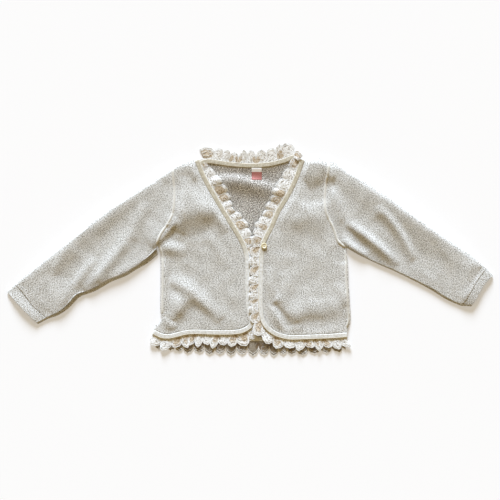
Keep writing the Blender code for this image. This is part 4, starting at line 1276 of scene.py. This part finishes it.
def seam_ridges(half, edge, yarn):
    """Soft ridges along the armhole's seam and the side's, which go down at their ends."""
    armhole = smooth_line(half.armhole, np.linspace(ARMHOLE_COLUMNS[half.under_arm], 1, SEAM_STEPS))
    side = smooth_line(half.side, np.linspace(SIDE_RIDGE_FROM[half.name], 1, SEAM_STEPS))
    side = moved(side, half.inward * (ROLL_OUT + SIDE_RIDGE_IN))
    for name, line, radius, up in (
        ("armhole_seam", armhole, SEAM_RIDGE, SEAM_RIDGE_UP), ("side_seam", side, SIDE_RIDGE, SIDE_RIDGE_UP),
    ):
        along = lengths(line)
        end = 1 - np.clip(np.minimum(along, along[::-1]) / SEAM_RIDGE_END, 0, 1)
        top = front_height(half, line[:, 0], line[:, 1], edge) + KNIT + up
        path = np.column_stack([line, top - radius - SEAM_RIDGE_DROP * end**2])
        cords(f"{name}_{half.name}", [path], radius, yarn, "knit")


def edge_piece(name, line, underside, inward, band_cloth, thread, node_name, start=0.0):
    """A binding with its row of stitches near the knit, and a pale cord along its other edge, a painted
    highlight that stands in for the binding's lit edge.
    """
    obj = bar_piece(f"{name}_tape", line, underside, band_cloth, node_name, start)
    sewn = moved(line, inward * STITCH_LINE * BAND_WIDTH)
    row = stitches(f"{name}_stitches", sewn, underside + BAND_THICKNESS, thread)
    # Painted highlight: the pale cord stands in for the lit edge of the binding.
    beside = moved(line, -inward * HIGHLIGHT_CORD_LINE * BAND_WIDTH)
    path = np.column_stack([beside, underside + HIGHLIGHT_CORD_UP * BAND_THICKNESS])
    highlight_cord = cords(f"{name}_cord", [path], HIGHLIGHT_CORD, thread, "band")


def floor():
    bpy.ops.mesh.primitive_plane_add(size=FLOOR_SIZE * MM, location=(0, 0, -FLOOR_DROP * MM))
    plane = bpy.context.object
    plane.name = "floor"
    made = bpy.data.materials.new("pale floor")
    made.use_nodes = True
    surface = made.node_tree.nodes["Principled BSDF"]
    surface.inputs["Base Color"].default_value = FLOOR_COLOUR
    surface.inputs["Roughness"].default_value = 0.9
    surface.inputs["Emission Color"].default_value = (1.0, 1.0, 1.0, 1)
    surface.inputs["Emission Strength"].default_value = FLOOR_GLOW
    plane.data.materials.append(made)


def light_and_camera():
    scene = bpy.context.scene
    sun = bpy.data.lights.new("key", "SUN")
    sun.energy = KEY_STRENGTH
    sun.angle = np.radians(KEY_SPREAD)
    sun.color = KEY_COLOUR
    lamp = bpy.data.objects.new("key", sun)
    lamp.rotation_euler = (-Vector(KEY_LIGHT)).to_track_quat("-Z", "Y").to_euler()
    scene.collection.objects.link(lamp)
    scene.world = bpy.data.worlds.new("fill")
    scene.world.use_nodes = True
    fill = scene.world.node_tree.nodes["Background"]
    fill.inputs["Color"].default_value = FILL_COLOUR
    fill.inputs["Strength"].default_value = FILL_STRENGTH
    view = bpy.data.cameras.new("view")
    view.sensor_width = SENSOR
    view.lens = SENSOR * EYE_AT[2] / (PICTURE * PIXEL)
    view.clip_end = FARTHEST_SEEN * MM
    eye = bpy.data.objects.new("view", view)
    eye.location = [part * MM for part in EYE_AT]
    scene.collection.objects.link(eye)
    scene.camera = eye
    scene.view_settings.view_transform = "Standard"


knit = knit_finish("marl knit", (0.24, 0.21, 0.165), (0.69, 0.67, 0.61), (0.95, 0.94, 0.91))
# The back's wrong side, seen inside the neck: a darker, browner copy of the knit, partly the wrong side's own
# colour and partly painted shade.
inside = knit_finish("marl knit inside", (0.08, 0.065, 0.05), (0.46, 0.42, 0.36), (1.0, 0.97, 0.90))
seam_yarn = thread_finish("seam yarn", (0.80, 0.77, 0.69))
tape = band_finish()
net = net_finish("lace net", 1.0)
# A darker copy of the net, as painted shade, for the back hem's lace, which lies below the fronts' lace.
net_in_painted_shade = net_finish("lace net in painted shade", 0.36)
lace_thread = thread_finish("lace cord", (0.98, 0.97, 0.93))
# A darker copy of the lace cord, as painted shade, for the back hem's lace.
cord_in_painted_shade = thread_finish("lace cord in painted shade", (0.94, 0.90, 0.82))
sewing_thread = thread_finish("sewing thread", (0.86, 0.80, 0.66))

back_panel(inside)
for half in (RIGHT, LEFT):
    for part, rings in zip(("sleeve", "cuff"), sleeve_and_cuff(half)):
        tube_piece(f"{part}_{half.name}_knit", rings, knit, f"{part}_{half.name}")
    line = front_panel(half, knit)
    seam_ridges(half, line, seam_yarn)
    edge = drawn(line, EDGE_SECTIONS)
    under = foot_at(half.waves, lengths(edge)) + LACE + SEAM
    edge_piece(f"edge_{half.name}", edge, under, half.inward, tape, sewing_thread, f"binding_{half.name}")
    sewn = moved(line, half.inward * (LACE_TUCK - BAND_WIDTH / 2))
    trim = Trim(f"lace_{half.name}", sewn, -half.inward, half.waves, FRONT_POINTS, back_height)
    lace_piece(trim, net, lace_thread, f"lace_{half.name}")

neck = drawn((NECK_TAPE_START, *NECK_EDGE, NECK_TAPE_END), NECK_SECTIONS)
lift = NECK_TAPE_LIFT * np.sin(np.pi * even(NECK_SECTIONS)) ** NECK_TAPE_SHAPE
edge_piece("edge_neck", neck, LACE + SEAM + lift, -1, tape, sewing_thread, "binding_neck")
sewn = moved(drawn(NECK_EDGE + NECK_LACE_END, FINE), BAND_WIDTH / 2 - LACE_TUCK)
lace_piece(Trim("lace_neck", sewn, 1, NECK_WAVES, NECK_POINTS), net, lace_thread, "lace_neck")

hem = drawn(BACK_HEM_EDGE, HEM_SECTIONS)
under = np.zeros(HEM_SECTIONS)
edge_piece("edge_back_hem", hem, under, 1, tape, sewing_thread, "binding_hem_back", PALE_FROM)
sewn = moved(hem, -(BAND_WIDTH / 2 + SEAM))
trim = Trim("lace_hem_back", sewn, -1, BACK_HEM_WAVES, HEM_POINTS)
lace_piece(trim, net_in_painted_shade, cord_in_painted_shade, "lace_hem_back")

button_piece(shell_finish(), sewing_thread)
label_piece(label_finish())
floor()
light_and_camera()
